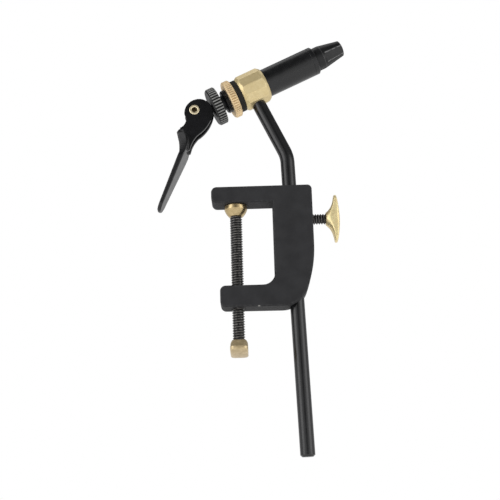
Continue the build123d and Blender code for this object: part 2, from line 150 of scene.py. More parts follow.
def joint_stand(name: str, up: Vector) -> Stand:
    """The stand on a joint's place and axis.

    Args:
        name: The joint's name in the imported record.
        up: Any direction that isn't along the axis; the part of it square to the axis becomes up.

    Returns:
        A stand whose axis is the joint's.
    """
    joint = next(each for each in frame["joints"] if each["name"] == name)
    along = Vector(joint["axis"]).normalized()
    square = (up - along * up.dot(along)).normalized()
    return Stand(Vector(joint.get("pos_m", ORIGIN)), along, square)


class Ends(Enum):
    """How a skin of loops ends: left open, closed with flat caps, or joined from last to first."""

    OPEN = "open"
    CAPPED = "capped"
    JOINED = "joined"


class Draft:
    """A mesh under construction: loops of points, each with its relief and its place on the lathe."""

    def __init__(self) -> None:
        """Starts an empty draft."""
        self.points: list[Vector] = []
        self.relief: list[float] = []
        self.lathe: list[Triple] = []
        self.faces: list[tuple[int, ...]] = []

    def ring(
        self, points: Sequence[Vector], relief: Sequence[float] = (), lathe: Point = (0.0, 0.0)
    ) -> list[int]:
        """Adds a loop of points.

        Args:
            points: The loop, in metres.
            relief: The exposure of each point, where it isn't plain.
            lathe: Distance along the axis and radius, in millimetres, that turning marks follow.

        Returns:
            The new points' numbers.
        """
        first = len(self.points)
        self.points.extend(points)
        self.relief.extend(relief or [PLAIN] * len(points))
        self.lathe.extend([(*lathe, 0.0)] * len(points))
        return list(range(first, len(self.points)))

    def circle(self, stand: Stand, mark: Mark, sides: int, shape: Shaper | None = None) -> list[int]:
        """Adds a loop round a stand's axis.

        Args:
            stand: Where the axis lies.
            mark: The loop's place along the axis, its radius and its relief.
            sides: Points in the loop.
            shape: What cuts into the round: from an angle and a mark, the radius and relief left there.

        Returns:
            The new points' numbers.
        """
        angles = [FULL_TURN * side / sides for side in range(sides)]
        cuts = [shape(angle, mark) if shape else (mark.y, mark.relief) for angle in angles]
        points = [stand.around(mark.x, radius, angle) for (radius, _), angle in zip(cuts, angles)]
        return self.ring(points, [exposure for _, exposure in cuts], (mark.x, mark.y))

    def skin(self, rings: Sequence[Sequence[int]], ends: Ends = Ends.OPEN) -> None:
        """Joins loops of as many points in order with bands of quads.

        Args:
            rings: The loops.
            ends: What becomes of the first and the last.
        """
        pairs = list(zip(rings, rings[1:]))
        if ends is Ends.JOINED:
            pairs.append((rings[-1], rings[0]))
        for low, high in pairs:
            for here in range(len(low)):
                there = (here + 1) % len(low)
                self.faces.append((low[here], low[there], high[there], high[here]))
        if ends is Ends.CAPPED:
            self.faces += [tuple(rings[0]), tuple(rings[-1])]

    def finish(self, name: str) -> Piece:
        """Turns the draft into a clean, outward-facing, smooth-shaded object in the scene.

        Args:
            name: The piece's name.

        Returns:
            The object.
        """
        mesh = bmesh.new()
        relief = mesh.verts.layers.float.new("relief")
        lathe = mesh.verts.layers.float_vector.new("lathe")
        corners = []
        for place, exposure, turn in zip(self.points, self.relief, self.lathe):
            corner = mesh.verts.new(place)
            corner[relief] = exposure
            corner[lathe] = turn
            corners.append(corner)
        for loop in self.faces:
            mesh.faces.new([corners[number] for number in loop])
        bmesh.ops.remove_doubles(mesh, verts=mesh.verts[:], dist=MERGE_DISTANCE)
        bmesh.ops.dissolve_degenerate(mesh, dist=MERGE_DISTANCE, edges=mesh.edges[:])
        bmesh.ops.recalc_face_normals(mesh, faces=mesh.faces[:])
        data = bpy.data.meshes.new(name)
        mesh.to_mesh(data)
        mesh.free()
        return placed(smooth(bpy.data.objects.new(name, data)))


def placed(thing: Piece) -> Piece:
    """Puts an object in the scene and hands it back."""
    bpy.context.scene.collection.objects.link(thing)
    return thing


def smooth(piece: Piece) -> Piece:
    """Shades a piece smooth across gentle bends and sharp across steep ones.

    Args:
        piece: The piece.

    Returns:
        The same piece.
    """
    piece.data.shade_smooth()
    piece.data.set_sharp_from_angle(angle=SMOOTH_ANGLE)
    return piece


def settle_modifiers(piece: Piece) -> None:
    """Applies a piece's modifiers to its mesh.

    Args:
        piece: The piece.
    """
    bpy.context.view_layer.update()
    graph = bpy.context.evaluated_depsgraph_get()
    data = bpy.data.meshes.new_from_object(piece.evaluated_get(graph))
    former = piece.data
    piece.modifiers.clear()
    piece.data = data
    bpy.data.meshes.remove(former)


class Carving(Enum):
    """How one solid works on another."""

    CUT = "DIFFERENCE"
    JOIN = "UNION"


def carve(body: Piece, tool: Piece, how: Carving = Carving.CUT) -> None:
    """Cuts or joins a body with a tool, which is used up.

    Args:
        body: The piece that changes.
        tool: The solid that works on it.
        how: What the tool does to the body.
    """
    modifier = body.modifiers.new("carving", "BOOLEAN")
    modifier.operation = how.value
    modifier.solver = "EXACT"
    modifier.object = tool
    settle_modifiers(body)
    bpy.data.objects.remove(tool)
    smooth(body)


def rounded(
    corners: Sequence[Corner], radius: float = 0.0, closed: bool = True, steps: int = CORNER_STEPS
) -> list[Mark]:
    """Rounds the corners of an outline with true arcs, with a supporting point beside each arc's ends.

    Args:
        corners: The outline's corners in order; a third value is a corner's own radius.
        radius: The radius of the other corners; zero keeps a corner sharp.
        closed: Whether the last corner joins the first.
        steps: Points along each arc, less one.

    Returns:
        The rounded outline, whose arcs are marked as edges.
    """
    count = len(corners)
    marks: list[Mark] = []
    for number, corner in enumerate(corners):
        own = corner[2] if len(corner) > 2 else radius
        if own <= 0 or (not closed and number in (0, count - 1)):
            marks.append(Mark(*corner[:2]))
            continue
        here = Vector(corner[:2])
        back = Vector(corners[number - 1][:2]) - here
        onward = Vector(corners[(number + 1) % count][:2]) - here
        arrive, leave = back.normalized(), onward.normalized()
        turn = pi - back.angle(onward)
        half_turn = tan(turn / 2)
        reach = min(own * half_turn, CORNER_SHARE * back.length, CORNER_SHARE * onward.length)
        inner = reach / half_turn if half_turn else 0.0
        support = reach + SUPPORT_SHARE * min(inner, back.length - 2 * reach, onward.length - 2 * reach)
        centre = here + (arrive + leave).normalized() * hypot(inner, reach)
        spoke = here + arrive * reach - centre
        side = 1.0 if back.cross(onward) < 0 else -1.0
        marks.append(Mark(*(here + arrive * support)))
        for step in range(steps + 1):
            place = centre + Matrix.Rotation(side * turn * step / steps, 2) @ spoke
            marks.append(Mark(*place, EDGE if 0 < step < steps else (PLAIN + EDGE) / 2))
        marks.append(Mark(*(here + leave * support)))
    return marks


def arc(centre: Point, radius: float, start: float, end: float, steps: int) -> list[Point]:
    """Points along an arc between two angles in radians, both ends included."""
    angles = [start + (end - start) * step / steps for step in range(steps + 1)]
    return [(centre[0] + radius * cos(angle), centre[1] + radius * sin(angle)) for angle in angles]


def arc_through(start: Point, middle: Point, end: Point, steps: int) -> list[Point]:
    """Points along the circle through three points.

    Args:
        start: The first point.
        middle: A point on the way.
        end: The last point.
        steps: Points along the arc, less one.

    Returns:
        The points in order.
    """
    (ax, ay), (bx, by), (cx, cy) = start, middle, end
    twice = 2 * (ax * (by - cy) + bx * (cy - ay) + cx * (ay - by))
    a2, b2, c2 = ax * ax + ay * ay, bx * bx + by * by, cx * cx + cy * cy
    mid_x = (a2 * (by - cy) + b2 * (cy - ay) + c2 * (ay - by)) / twice
    mid_y = (a2 * (cx - bx) + b2 * (ax - cx) + c2 * (bx - ax)) / twice
    first, through, sweep = (atan2(y - mid_y, x - mid_x) for x, y in (start, middle, end))
    through, sweep = (through - first) % FULL_TURN, (sweep - first) % FULL_TURN
    if through > sweep:
        sweep -= FULL_TURN
    return arc((mid_x, mid_y), hypot(ax - mid_x, ay - mid_y), first, first + sweep, steps)


def level(line: Sequence[Point], x: float) -> float:
    """The height of a line at a place along it.

    Args:
        line: Points that run onward in x.
        x: The place.

    Returns:
        The height there.
    """
    for (x0, y0), (x1, y1) in zip(line, line[1:]):
        if x <= x1:
            break
    return y0 + (y1 - y0) * (x - x0) / (x1 - x0)


def held(value: float, low: float = 0.0, high: float = 1.0) -> float:
    """A value kept between two others."""
    return max(low, min(high, value))


def inset(outline: Sequence[Mark], depth: float) -> list[Point]:
    """An outline drawn in by a depth, with mitred corners.

    Args:
        outline: A closed outline, in either direction.
        depth: How far in, in the outline's units.

    Returns:
        As many points, in the same order.
    """
    spots = [Vector((mark.x, mark.y)) for mark in outline]
    laps = list(zip(spots, spots[1:] + spots[:1], [spots[-1]] + spots))
    side = 1.0 if sum(here.cross(after) for here, after, _ in laps) > 0 else -1.0
    points = []
    for here, after, before in laps:
        first, second = (here - before).normalized(), (after - here).normalized()
        along = first + second
        share = side * depth / (1.0 + first.dot(second))
        points.append((here.x - along.y * share, here.y + along.x * share))
    return points


def turned(
    name: str,
    stand: Stand,
    profile: Sequence[Mark],
    sides: int = TURNED_SIDES,
    shape: Shaper | None = None,
    ends: Ends = Ends.JOINED,
) -> Piece:
    """A piece turned about a stand's axis.

    Args:
        name: The piece's name.
        stand: Where its axis lies.
        profile: Distance along the axis and radius of each mark.
        sides: Facets around the axis.
        shape: What cuts into the round.
        ends: Joined for a profile that loops round a bore, open for one that ends on the axis.

    Returns:
        The turned object.
    """
    draft = Draft()
    draft.skin([draft.circle(stand, mark, sides, shape) for mark in profile], ends)
    return draft.finish(name)


def slab(
    name: str, stand: Stand, outline: Sequence[Mark], half_width: float, edge_radius: float = 0.0
) -> Piece:
    """A plate of an outline, drawn in the stand's along and up directions, with rounded rims.

    Args:
        name: The piece's name.
        stand: The plate's middle plane.
        outline: The closed outline, in millimetres.
        half_width: Half the plate's thickness, which runs out of that plane.
        edge_radius: The rims' radius; zero leaves them sharp.

    Returns:
        The plate.
    """
    levels = [(0.0, half_width, PLAIN)]
    if edge_radius:
        support = edge_radius * SUPPORT_SHARE
        levels = [(0.0, half_width - edge_radius - support, PLAIN)]
        for out, up in arc((0.0, 0.0), edge_radius, 0.0, pi / 2, CORNER_STEPS):
            levels.append((edge_radius - out, half_width - edge_radius + up, EDGE))
        levels.append((edge_radius + support, half_width, PLAIN))
    draft = Draft()
    rings = []
    below = [(depth, -out, relief) for depth, out, relief in reversed(levels)]
    for depth, out, relief in below + levels:
        points = [stand.at(x, y, out) for x, y in inset(outline, depth)]
        rings.append(draft.ring(points, [relief] * len(points)))
    draft.skin(rings, Ends.CAPPED)
    return draft.finish(name)


def plug(stand: Stand, start: float, end: float, radius: float, flare: float = 0.0) -> Piece:
    """A round cutting tool along a stand's axis, with cones at its ends where flared.

    Args:
        stand: Where its axis lies.
        start: Where it begins along the axis.
        end: Where it ends.
        radius: Its radius.
        flare: How far, and over what length, each end widens.

    Returns:
        The tool.
    """
    profile = [Mark(start, 0), Mark(start, radius + flare)]
    if flare:
        profile += [Mark(start + flare, radius), Mark(end - flare, radius)]
    profile += [Mark(end, radius + flare), Mark(end, 0)]
    return turned("cutting_tool", stand, profile, ends=Ends.OPEN)


def relief_from_shape(piece: Piece, sharpness: float) -> None:
    """Marks a piece's own ridges as edges and its hollows as roots, from how its surface bends.

    Args:
        piece: A finely meshed piece.
        sharpness: The bend, between a point and its neighbours, that counts as a full edge.
    """
    mesh = bmesh.new()
    mesh.from_mesh(piece.data)
    layer = mesh.verts.layers.float.get("relief") or mesh.verts.layers.float.new("relief")
    mesh.normal_update()
    for corner in mesh.verts:
        steps = [corner.co - edge.other_vert(corner).co for edge in corner.link_edges]
        bend = sum(step.normalized().dot(corner.normal) for step in steps) / max(len(steps), 1)
        corner[layer] = PLAIN + held(bend / sharpness, -1.0) * PLAIN
    mesh.to_mesh(piece.data)
    mesh.free()


class Cloud(NamedTuple):
    """A slow drift of colour: its grain in millimetres, and its darkest and lightest shares."""

    grain: float
    darkest: float
    lightest: float


class WearAndHighlight(NamedTuple):
    """Lighter edges, scuffed and partly a painted highlight: the relief where they start, the grain and
    most of the lightening, and its span of noise.
    """

    start: float
    grain: float
    most: float
    spread: Point = (0.42, 0.66)


class Grain(NamedTuple):
    """A fine texture: its grain in millimetres, its detail and its depth."""

    size: float
    detail: float
    depth: float


class Ground(Enum):
    """What a bench's nodes dress: the shader and the output that they lead to."""

    SURFACE = ("ShaderNodeBsdfPrincipled", "ShaderNodeOutputMaterial")
    WORLD = ("ShaderNodeBackground", "ShaderNodeOutputWorld")


class Bench:
    """Lays out the nodes of one material or world."""

    def __init__(self, owner: Material | bpy.types.World, ground: Ground = Ground.SURFACE) -> None:
        """Clears the owner's nodes and sets up its shader.

        Args:
            owner: The material or world.
            ground: Which of the two it is.
        """
        owner.use_nodes = True
        self.owner = owner
        self.tree = owner.node_tree
        self.tree.nodes.clear()
        shader, output = ground.value
        self.shader = self.node(shader)
        self.node(output, {"Surface": self.shader.outputs[0]})

    def node(self, kind: str, inputs: dict | None = None, **settings: object) -> bpy.types.Node:
        """Adds a node.

        Args:
            kind: The node's type.
            inputs: What each input, by name or number, takes: a value or another node's output.
            settings: The node's own options.

        Returns:
            The new node.
        """
        node = self.tree.nodes.new(kind)
        for name, value in settings.items():
            setattr(node, name, value)
        for key, value in (inputs or {}).items():
            self.feed(node.inputs[key], value)
        return node

    def feed(self, socket: Socket, value: object) -> None:
        """Links an output to an input, or sets the input's own value.

        Args:
            socket: The input.
            value: A value or another node's output.
        """
        if isinstance(value, Socket):
            self.tree.links.new(value, socket)
        else:
            socket.default_value = value

    def surface(self, **values: object) -> None:
        """Feeds the shader, with underscores for spaces in its inputs' names."""
        for name, value in values.items():
            self.feed(self.shader.inputs[name.replace("_", " ")], value)

    @cached_property
    def place(self) -> Socket:
        """The point on the piece, in millimetres."""
        spot = self.node("ShaderNodeTexCoord").outputs["Object"]
        return self.node("ShaderNodeVectorMath", {0: spot, 3: 1 / MM}, operation="SCALE").outputs[0]

    def sum_of(self, operation: str, first: object, second: object, clamp: bool = True) -> Socket:
        """Two values put together by a named operation, held between 0 and 1 where clamped."""
        inputs = {0: first, 1: second}
        return self.node("ShaderNodeMath", inputs, operation=operation, use_clamp=clamp).outputs[0]

    def noise(self, grain: float, detail: float = 3.0, warp: float = 0.0) -> Socket:
        """Noise whose grain is about so many millimetres across."""
        inputs = {"Vector": self.place, "Scale": 1 / grain, "Detail": detail, "Distortion": warp}
        return self.node("ShaderNodeTexNoise", inputs).outputs[0]

    def rings(self, grain: float) -> Socket:
        """Noise in rings about a turned piece's axis, as a lathe tool leaves.

        Args:
            grain: The rings' width in millimetres.

        Returns:
            The noise.
        """
        parts = self.node("ShaderNodeSeparateXYZ", {0: self.attribute("lathe", "Vector")}).outputs
        station = self.sum_of("ADD", parts[0], parts[1], clamp=False)
        inputs = {"W": station, "Scale": 1 / grain, "Detail": 2.0}
        return self.node("ShaderNodeTexNoise", inputs, noise_dimensions="1D").outputs[0]

    def attribute(self, name: str, output: str = "Fac") -> Socket:
        """A value stored on the mesh's points."""
        return self.node("ShaderNodeAttribute", attribute_name=name).outputs[output]

    def span(
        self, value: object, source: Point, start: float = 0.0, end: float = 1.0, ease: str = "LINEAR"
    ) -> Socket:
        """A value stretched from one span to another, and held inside it.

        Args:
            value: The value.
            source: The span that it comes from.
            start: What the source's low end becomes.
            end: What its high end becomes.
            ease: How it runs between them.

        Returns:
            The stretched value.
        """
        names = ("Value", "From Min", "From Max", "To Min", "To Max")
        inputs = dict(zip(names, (value, *source, start, end)))
        return self.node("ShaderNodeMapRange", inputs, clamp=True, interpolation_type=ease).outputs[0]

    def mix(self, share: object, first: object, second: object) -> Socket:
        """A colour between two."""
        inputs = {0: share, 6: opaque(first), 7: opaque(second)}
        return self.node("ShaderNodeMix", inputs, data_type="RGBA").outputs[2]

    def between(self, share: object, first: object, second: object) -> Socket:
        """A number between two."""
        return self.node("ShaderNodeMix", {0: share, 2: first, 3: second}).outputs[0]

    def bump(self, height: Socket, depth: float, below: Socket | None = None) -> Socket:
        """A bumped normal.

        Args:
            height: What bumps it.
            depth: The height's full swing in millimetres.
            below: The normal that it lies over.

        Returns:
            The normal.
        """
        inputs = {"Height": height, "Distance": depth * MM, "Strength": 1.0}
        if below is not None:
            inputs["Normal"] = below
        return self.node("ShaderNodeBump", inputs).outputs[0]

    def textured(self, grain: Grain, below: Socket | None = None) -> Socket:
        """A normal bumped by a grain of noise."""
        return self.bump(self.noise(grain.size, grain.detail), grain.depth, below)

    def clouded(self, colour: Colour, cloud: Cloud) -> Socket:
        """A colour that drifts between a darker and a lighter shade of itself."""
        shades = [tuple(share * part for part in colour) for share in (cloud.darkest, cloud.lightest)]
        return self.mix(self.span(self.noise(cloud.grain), MIDDLE), *shades)

    def edge_wear_and_highlight(self, wear_and_highlight: WearAndHighlight) -> Socket:
        """How far an exposed edge is lightened, broken up by noise: scuffing, and partly a painted
        highlight.

        Args:
            wear_and_highlight: Where and how much the edge is lightened.

        Returns:
            A share, from 0 to 1.
        """
        exposed = self.span(self.attribute("relief"), (wear_and_highlight.start, EDGE))
        patchiness = self.span(self.noise(wear_and_highlight.grain), wear_and_highlight.spread, 0.0, wear_and_highlight.most)
        return self.sum_of("MULTIPLY", exposed, patchiness)

    def grime_and_shade(self) -> Socket:
        """How far a root or groove is darkened: soiling, and painted shade in the hollow."""
        return self.span(self.attribute("relief"), (PLAIN, ROOT))


def opaque(colour: object) -> object:
    """A colour with full alpha, or a node's output as it is."""
    return (*colour, 1.0) if isinstance(colour, tuple) else colour


@dataclass(frozen=True)
class Finish:
    """A finish that makes its material once, under its own name."""

    name: str

    def material(self) -> Material:
        """The finish's material, made on first use.

        Returns:
            The material.
        """
        if self.name not in bpy.data.materials:
            bench = Bench(bpy.data.materials.new(self.name))
            bench.surface(**self.look(bench))
        return bpy.data.materials[self.name]

    def look(self, bench: Bench) -> Look:
        """What each input of the shader takes, from nodes laid on a fresh bench."""
        raise NotImplementedError


class Chip(NamedTuple):
    """A spot where paint is knocked off an edge: its place in millimetres and its size."""

    place: Triple
    size: float


@dataclass(frozen=True)
class Coat(Finish):
    """A black coat: cloudy, lighter on its edges with scuffing and a painted highlight, hazy in its gloss,
    with a fine skin over broader marks.
    """

    colour: Colour = (0.0075, 0.0077, 0.0085)
    # Colour of the lighter edges: scuffed coat, and partly a painted highlight.
    rubbed_and_highlight: Colour = (0.09, 0.09, 0.092)
    cloud: Cloud = Cloud(7.0, 0.8, 1.25)
    wear_and_highlight: WearAndHighlight = WearAndHighlight(0.72, 1.1, 0.5)
    haze: Triple = (4.0, 4.0, 0.6)
    haze_span: Point = (0.35, 0.68)
    roughness: Point = (0.17, 0.25)
    skin: Grain = Grain(0.22, 2.0, 0.003)
    gloss: float = 0.5

    def shade(self, bench: Bench) -> Socket:
        """The cloudy black, lighter on its edges: scuffing, and partly a painted highlight."""
        black = bench.clouded(self.colour, self.cloud)
        return bench.mix(bench.edge_wear_and_highlight(self.wear_and_highlight), black, self.rubbed_and_highlight)

    def marks(self, bench: Bench) -> Socket:
        """The broader marks below the skin."""
        raise NotImplementedError

    def look(self, bench: Bench) -> Look:
        """The coat's shade, hazy gloss and bumped skin.

        Args:
            bench: A fresh bench.

        Returns:
            What each input of the shader takes.
        """
        return {
            "Base_Color": self.shade(bench),
            "Roughness": bench.span(bench.noise(*self.haze), self.haze_span, *self.roughness),
            "Normal": bench.textured(self.skin, self.marks(bench)),
            "Specular_IOR_Level": self.gloss,
        }


@dataclass(frozen=True)
class BlackSteel(Coat):
    """Blackened steel, with turning or drawing marks and roots darkened by soiling and painted shade."""

    # Colour of the roots: soiling, and painted shade in the grooves.
    root: Colour = (0.004, 0.004, 0.004)
    mark_grain: float = 0.16
    mark_depth: float = 0.004

    def shade(self, bench: Bench) -> Socket:
        """The coat's own colour, darker in its roots with soiling and painted shade."""
        return bench.mix(bench.grime_and_shade(), super().shade(bench), self.root)

    def marks(self, bench: Bench) -> Socket:
        """Rings about the axis."""
        return bench.bump(bench.rings(self.mark_grain), self.mark_depth)


@dataclass(frozen=True)
class Enamel(Coat):
    """Black enamel or paint on a casting, with a soft swell below its skin."""

    swell: Grain = Grain(0.9, 2.0, 0.012)

    def marks(self, bench: Bench) -> Socket:
        """A faint orange peel, or the slow waves of a sand casting."""
        return bench.textured(self.swell)


@dataclass(frozen=True)
class CastPaint(Enamel):
    """Matte paint over a sand-cast frame, with a few chips to bare metal."""

    chips: tuple[Chip, ...] = ()
    metal: Colour = (0.46, 0.45, 0.43)
    metallic: float = 0.9
    ragged_grain: float = 0.6
    ragged: float = 0.5
    chip_core: float = 0.55

    def look(self, bench: Bench) -> Look:
        """The paint with its chips.

        Args:
            bench: A fresh bench.

        Returns:
            What each input of the shader takes.
        """
        look, bare = super().look(bench), self.chipped(bench)
        metal = bench.span(bare, WHOLE, 0.0, self.metallic)
        return look | {"Base_Color": bench.mix(bare, look["Base_Color"], self.metal), "Metallic": metal}

    def chipped(self, bench: Bench) -> object:
        """How far each point lies inside a chip.

        Args:
            bench: Where the nodes go.

        Returns:
            A share: 1 inside a chip, 0 outside.
        """
        ragged = bench.span(bench.noise(self.ragged_grain), BROAD, -self.ragged, self.ragged)
        total: object = 0.0
        for chip in self.chips:
            ends = {0: bench.place, 1: chip.place}
            away = bench.node("ShaderNodeVectorMath", ends, operation="DISTANCE")
            rim = bench.sum_of("ADD", away.outputs[1], ragged, clamp=False)
            inside = bench.span(rim, (self.chip_core * chip.size, chip.size), 1.0, 0.0)
            total = bench.sum_of("MAXIMUM", total, inside)
        return total


@dataclass(frozen=True)
class Brass(Finish):
    """Brass, turned or cast: two tones of metal, tool marks, edges lighter with burnishing and a painted
    highlight, and grooves darkened with soiling and painted shade.
    """

    light: Colour
    dark: Colour
    roughness: Point = (0.44, 0.56)
    metallic: float = 0.65
    # Colour of darkened roots and bores: soiling, and painted shade in the hollows.
    grime_and_shade: Colour = (0.10, 0.065, 0.025)
    mottle: Triple = (3.2, 4.0, 0.4)
    mottle_span: Point = (0.32, 0.68)
    # How much lighter the edges are: burnishing, and partly a painted highlight.
    polish_and_highlight: float = 1.12
    wear_and_highlight: WearAndHighlight = WearAndHighlight(0.6, 1.3, 0.6)
    dirt_grain: float = 1.4
    dirt_span: Point = (0.25, 0.6)
    dirt_and_shade: Point = (0.45, 0.9)
    mark_grain: float = 0.12
    mark_depth: float = 0.0016
    pits: Point = (0.25, 3.0)
    pitting: float = 0.0010
    haze: Point = (1.8, 4.0)

    def look(self, bench: Bench) -> Look:
        """Toned metal with rings from the lathe, fine pits, edges lightened by burnishing and a painted
        highlight, and roots darkened by soiling and painted shade.

        Args:
            bench: A fresh bench.

        Returns:
            What each input of the shader takes.
        """
        metal = bench.mix(bench.span(bench.noise(*self.mottle), self.mottle_span), self.dark, self.light)
        # The edge colour: lighter brass for burnishing and a painted highlight.
        bright = tuple(min(1.0, self.polish_and_highlight * part) for part in self.light)
        edges_lightened = bench.mix(bench.edge_wear_and_highlight(self.wear_and_highlight), metal, bright)
        # How dark the roots get: soiling, and painted shade in the hollows.
        dirt_and_shade = bench.span(bench.noise(self.dirt_grain), self.dirt_span, *self.dirt_and_shade)
        marks = bench.bump(bench.rings(self.mark_grain), self.mark_depth)
        return {
            "Base_Color": bench.mix(bench.sum_of("MULTIPLY", bench.grime_and_shade(), dirt_and_shade), edges_lightened, self.grime_and_shade),
            "Metallic": self.metallic,
            "Roughness": bench.span(bench.noise(*self.haze), BROAD, *self.roughness),
            "Normal": bench.textured(Grain(*self.pits, self.pitting), marks),
        }


@dataclass(frozen=True)
class Streaked(Finish):
    """Fibre or drawn wire: two shades of one stuff, matted or streaked by a single noise."""

    dark: Colour
    light: Colour
    streaks: Triple
    spread: Point
    depth: float
    roughness: Point
    metallic: float = 0.0
    gloss: float = 0.5

    def look(self, bench: Bench) -> Look:
        """Shade, roughness and bump, all from the same streaks.

        Args:
            bench: A fresh bench.

        Returns:
            What each input of the shader takes.
        """
        streak = bench.noise(*self.streaks)
        return {
            "Base_Color": bench.mix(bench.span(streak, self.spread), self.dark, self.light),
            "Metallic": self.metallic,
            "Roughness": bench.span(streak, BROAD, *self.roughness),
            "Normal": bench.bump(streak, self.depth),
            "Specular_IOR_Level": self.gloss,
        }


CAST_PAINT = CastPaint(
    "matte_casting_paint",
    colour=(0.0300, 0.0300, 0.0320),
    rubbed_and_highlight=(0.055, 0.055, 0.056),
    cloud=Cloud(9.0, 0.86, 1.14),
    wear_and_highlight=WearAndHighlight(0.7, 1.6, 0.7),
    haze=(0.9, 3.0, 0.0),
    haze_span=BROAD,
    roughness=(0.62, 0.76),
    skin=Grain(0.34, 2.0, 0.035),
    gloss=0.20,
    swell=Grain(5.5, 2.0, 0.05),
    chips=(Chip((35.7, -7.6, -61.1), 0.9), Chip((-0.2, -3.9, -62.6), 0.7), Chip((12.1, -7.6, -62.5), 0.6)),
)
SATIN_BAR = BlackSteel("satin_black_bar")
BARREL_BLACK = BlackSteel("turned_black_barrel", roughness=(0.22, 0.32), mark_depth=0.005)
# Lighter rims on the ground flats: scuffed steel, and partly a painted highlight.
JAW_BLACK = BlackSteel(
    "hardened_black_jaws",
    rubbed_and_highlight=(0.17, 0.17, 0.172),
    wear_and_highlight=WearAndHighlight(0.72, 1.1, 1.0, (0.25, 0.55)),
    roughness=(0.28, 0.40),
    gloss=0.36,
)
# Lighter thread crests: scuffed steel, and partly painted highlight lines; the roots take painted shade.
THREAD_BLACK = BlackSteel(
    "black_cut_thread",
    rubbed_and_highlight=(0.23, 0.215, 0.20),
    wear_and_highlight=WearAndHighlight(0.72, 1.1, 0.95, (0.32, 0.60)),
    roughness=(0.30, 0.42),
)
# Lighter knurl crests: scuffed steel, and partly a painted highlight on each tooth.
KNURL_BLACK = BlackSteel(
    "worn_and_highlit_black_knurl",
    rubbed_and_highlight=(0.27, 0.27, 0.26),
    wear_and_highlight=WearAndHighlight(0.72, 1.1, 1.0, (0.15, 0.50)),
    roughness=(0.34, 0.46),
    gloss=0.28,
)
LEVER_ENAMEL = Enamel(
    "black_lever_enamel",
    colour=(0.0055, 0.0055, 0.0065),
    rubbed_and_highlight=(0.05, 0.05, 0.052),
    cloud=Cloud(5.0, 0.8, 1.3),
    wear_and_highlight=WearAndHighlight(0.75, 0.9, 0.4),
    haze=(3.0, 3.0, 0.0),
    haze_span=MIDDLE,
    roughness=(0.19, 0.27),
    skin=Grain(0.2, 2.0, 0.002),
)
CAST_SKIN = {"mark_depth": 0.0, "pitting": 0.0014}
COLLAR_BRASS = Brass(
    "faceted_brass", (0.82, 0.67, 0.37), (0.75, 0.60, 0.31), (0.30, 0.40), metallic=0.5, dirt_and_shade=(0.2, 0.4)
)
RING_BRASS = Brass("red_brass_knurl", (0.97, 0.75, 0.46), (0.86, 0.64, 0.37), dirt_and_shade=(0.3, 0.5))
WING_BRASS = Brass("tumbled_brass", (1.0, 0.83, 0.46), (0.93, 0.74, 0.39), (0.40, 0.50), **CAST_SKIN)
# A darker copy of the lock wing's cast brass, for the foot wing: painted shade.
FOOT_BRASS = Brass(
    "tumbled_foot_brass", (0.68, 0.54, 0.32), (0.52, 0.40, 0.22), (0.34, 0.44), metallic=0.5, **CAST_SKIN
)
# The pad and the pin wear shaded and lit copies of one pale brass: the pad's darker copy is painted shade,
# the pin's paler copy a painted highlight.
PAD_BRASS = Brass(
    "bright_turned_brass", (0.60, 0.47, 0.26), (0.46, 0.35, 0.18), (0.22, 0.30), metallic=0.9
)
# The pin's near-full darkening span paints shade inside its drilled bores.
PIN_BRASS = Brass(
    "rolled_pin_brass", (0.92, 0.80, 0.55), (0.82, 0.69, 0.44), (0.24, 0.34), dirt_and_shade=(0.93, 0.97)
)
WASHER_FIBRE = Streaked(
    "pressed_fibre",
    (0.010, 0.009, 0.008),
    (0.026, 0.022, 0.018),
    streaks=(0.5, 5.0, 1.5),
    spread=(0.35, 0.7),
    depth=0.03,
    roughness=(0.62, 0.8),
    gloss=0.3,
)
SPRING_WIRE = Streaked(
    "drawn_spring_wire",
    (0.294, 0.294, 0.301),
    (0.42, 0.42, 0.43),
    streaks=(0.3, 3.0, 0.0),
    spread=WHOLE,
    depth=0.004,
    roughness=(0.25, 0.4),
    metallic=1.0,
)


def paint(piece: Piece, finish: Finish) -> None:
    """Covers a piece with a finish alone."""
    piece.data.materials.clear()
    piece.data.materials.append(finish.material())


def dress(piece: Piece, body: str, slot: str, finish: Finish, *nodes: str) -> None:
    """Gives a built piece its finish and its place in the vise.

    Args:
        piece: The finished mesh.
        body: The body that it moves with.
        slot: The record's material slot; not used.
        finish: What covers it.
        nodes: The CAD nodes that it stands for.
    """
    paint(piece, finish)
    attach(piece, body)
    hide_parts(*nodes)
    LOG.info("%s: %d faces, rides on %s", piece.name, len(piece.data.polygons), body)


class Run(NamedTuple):
    """A stretch of thread: where it starts and ends along its axis, and its outer radius."""

    start: float
    end: float
    crest: float


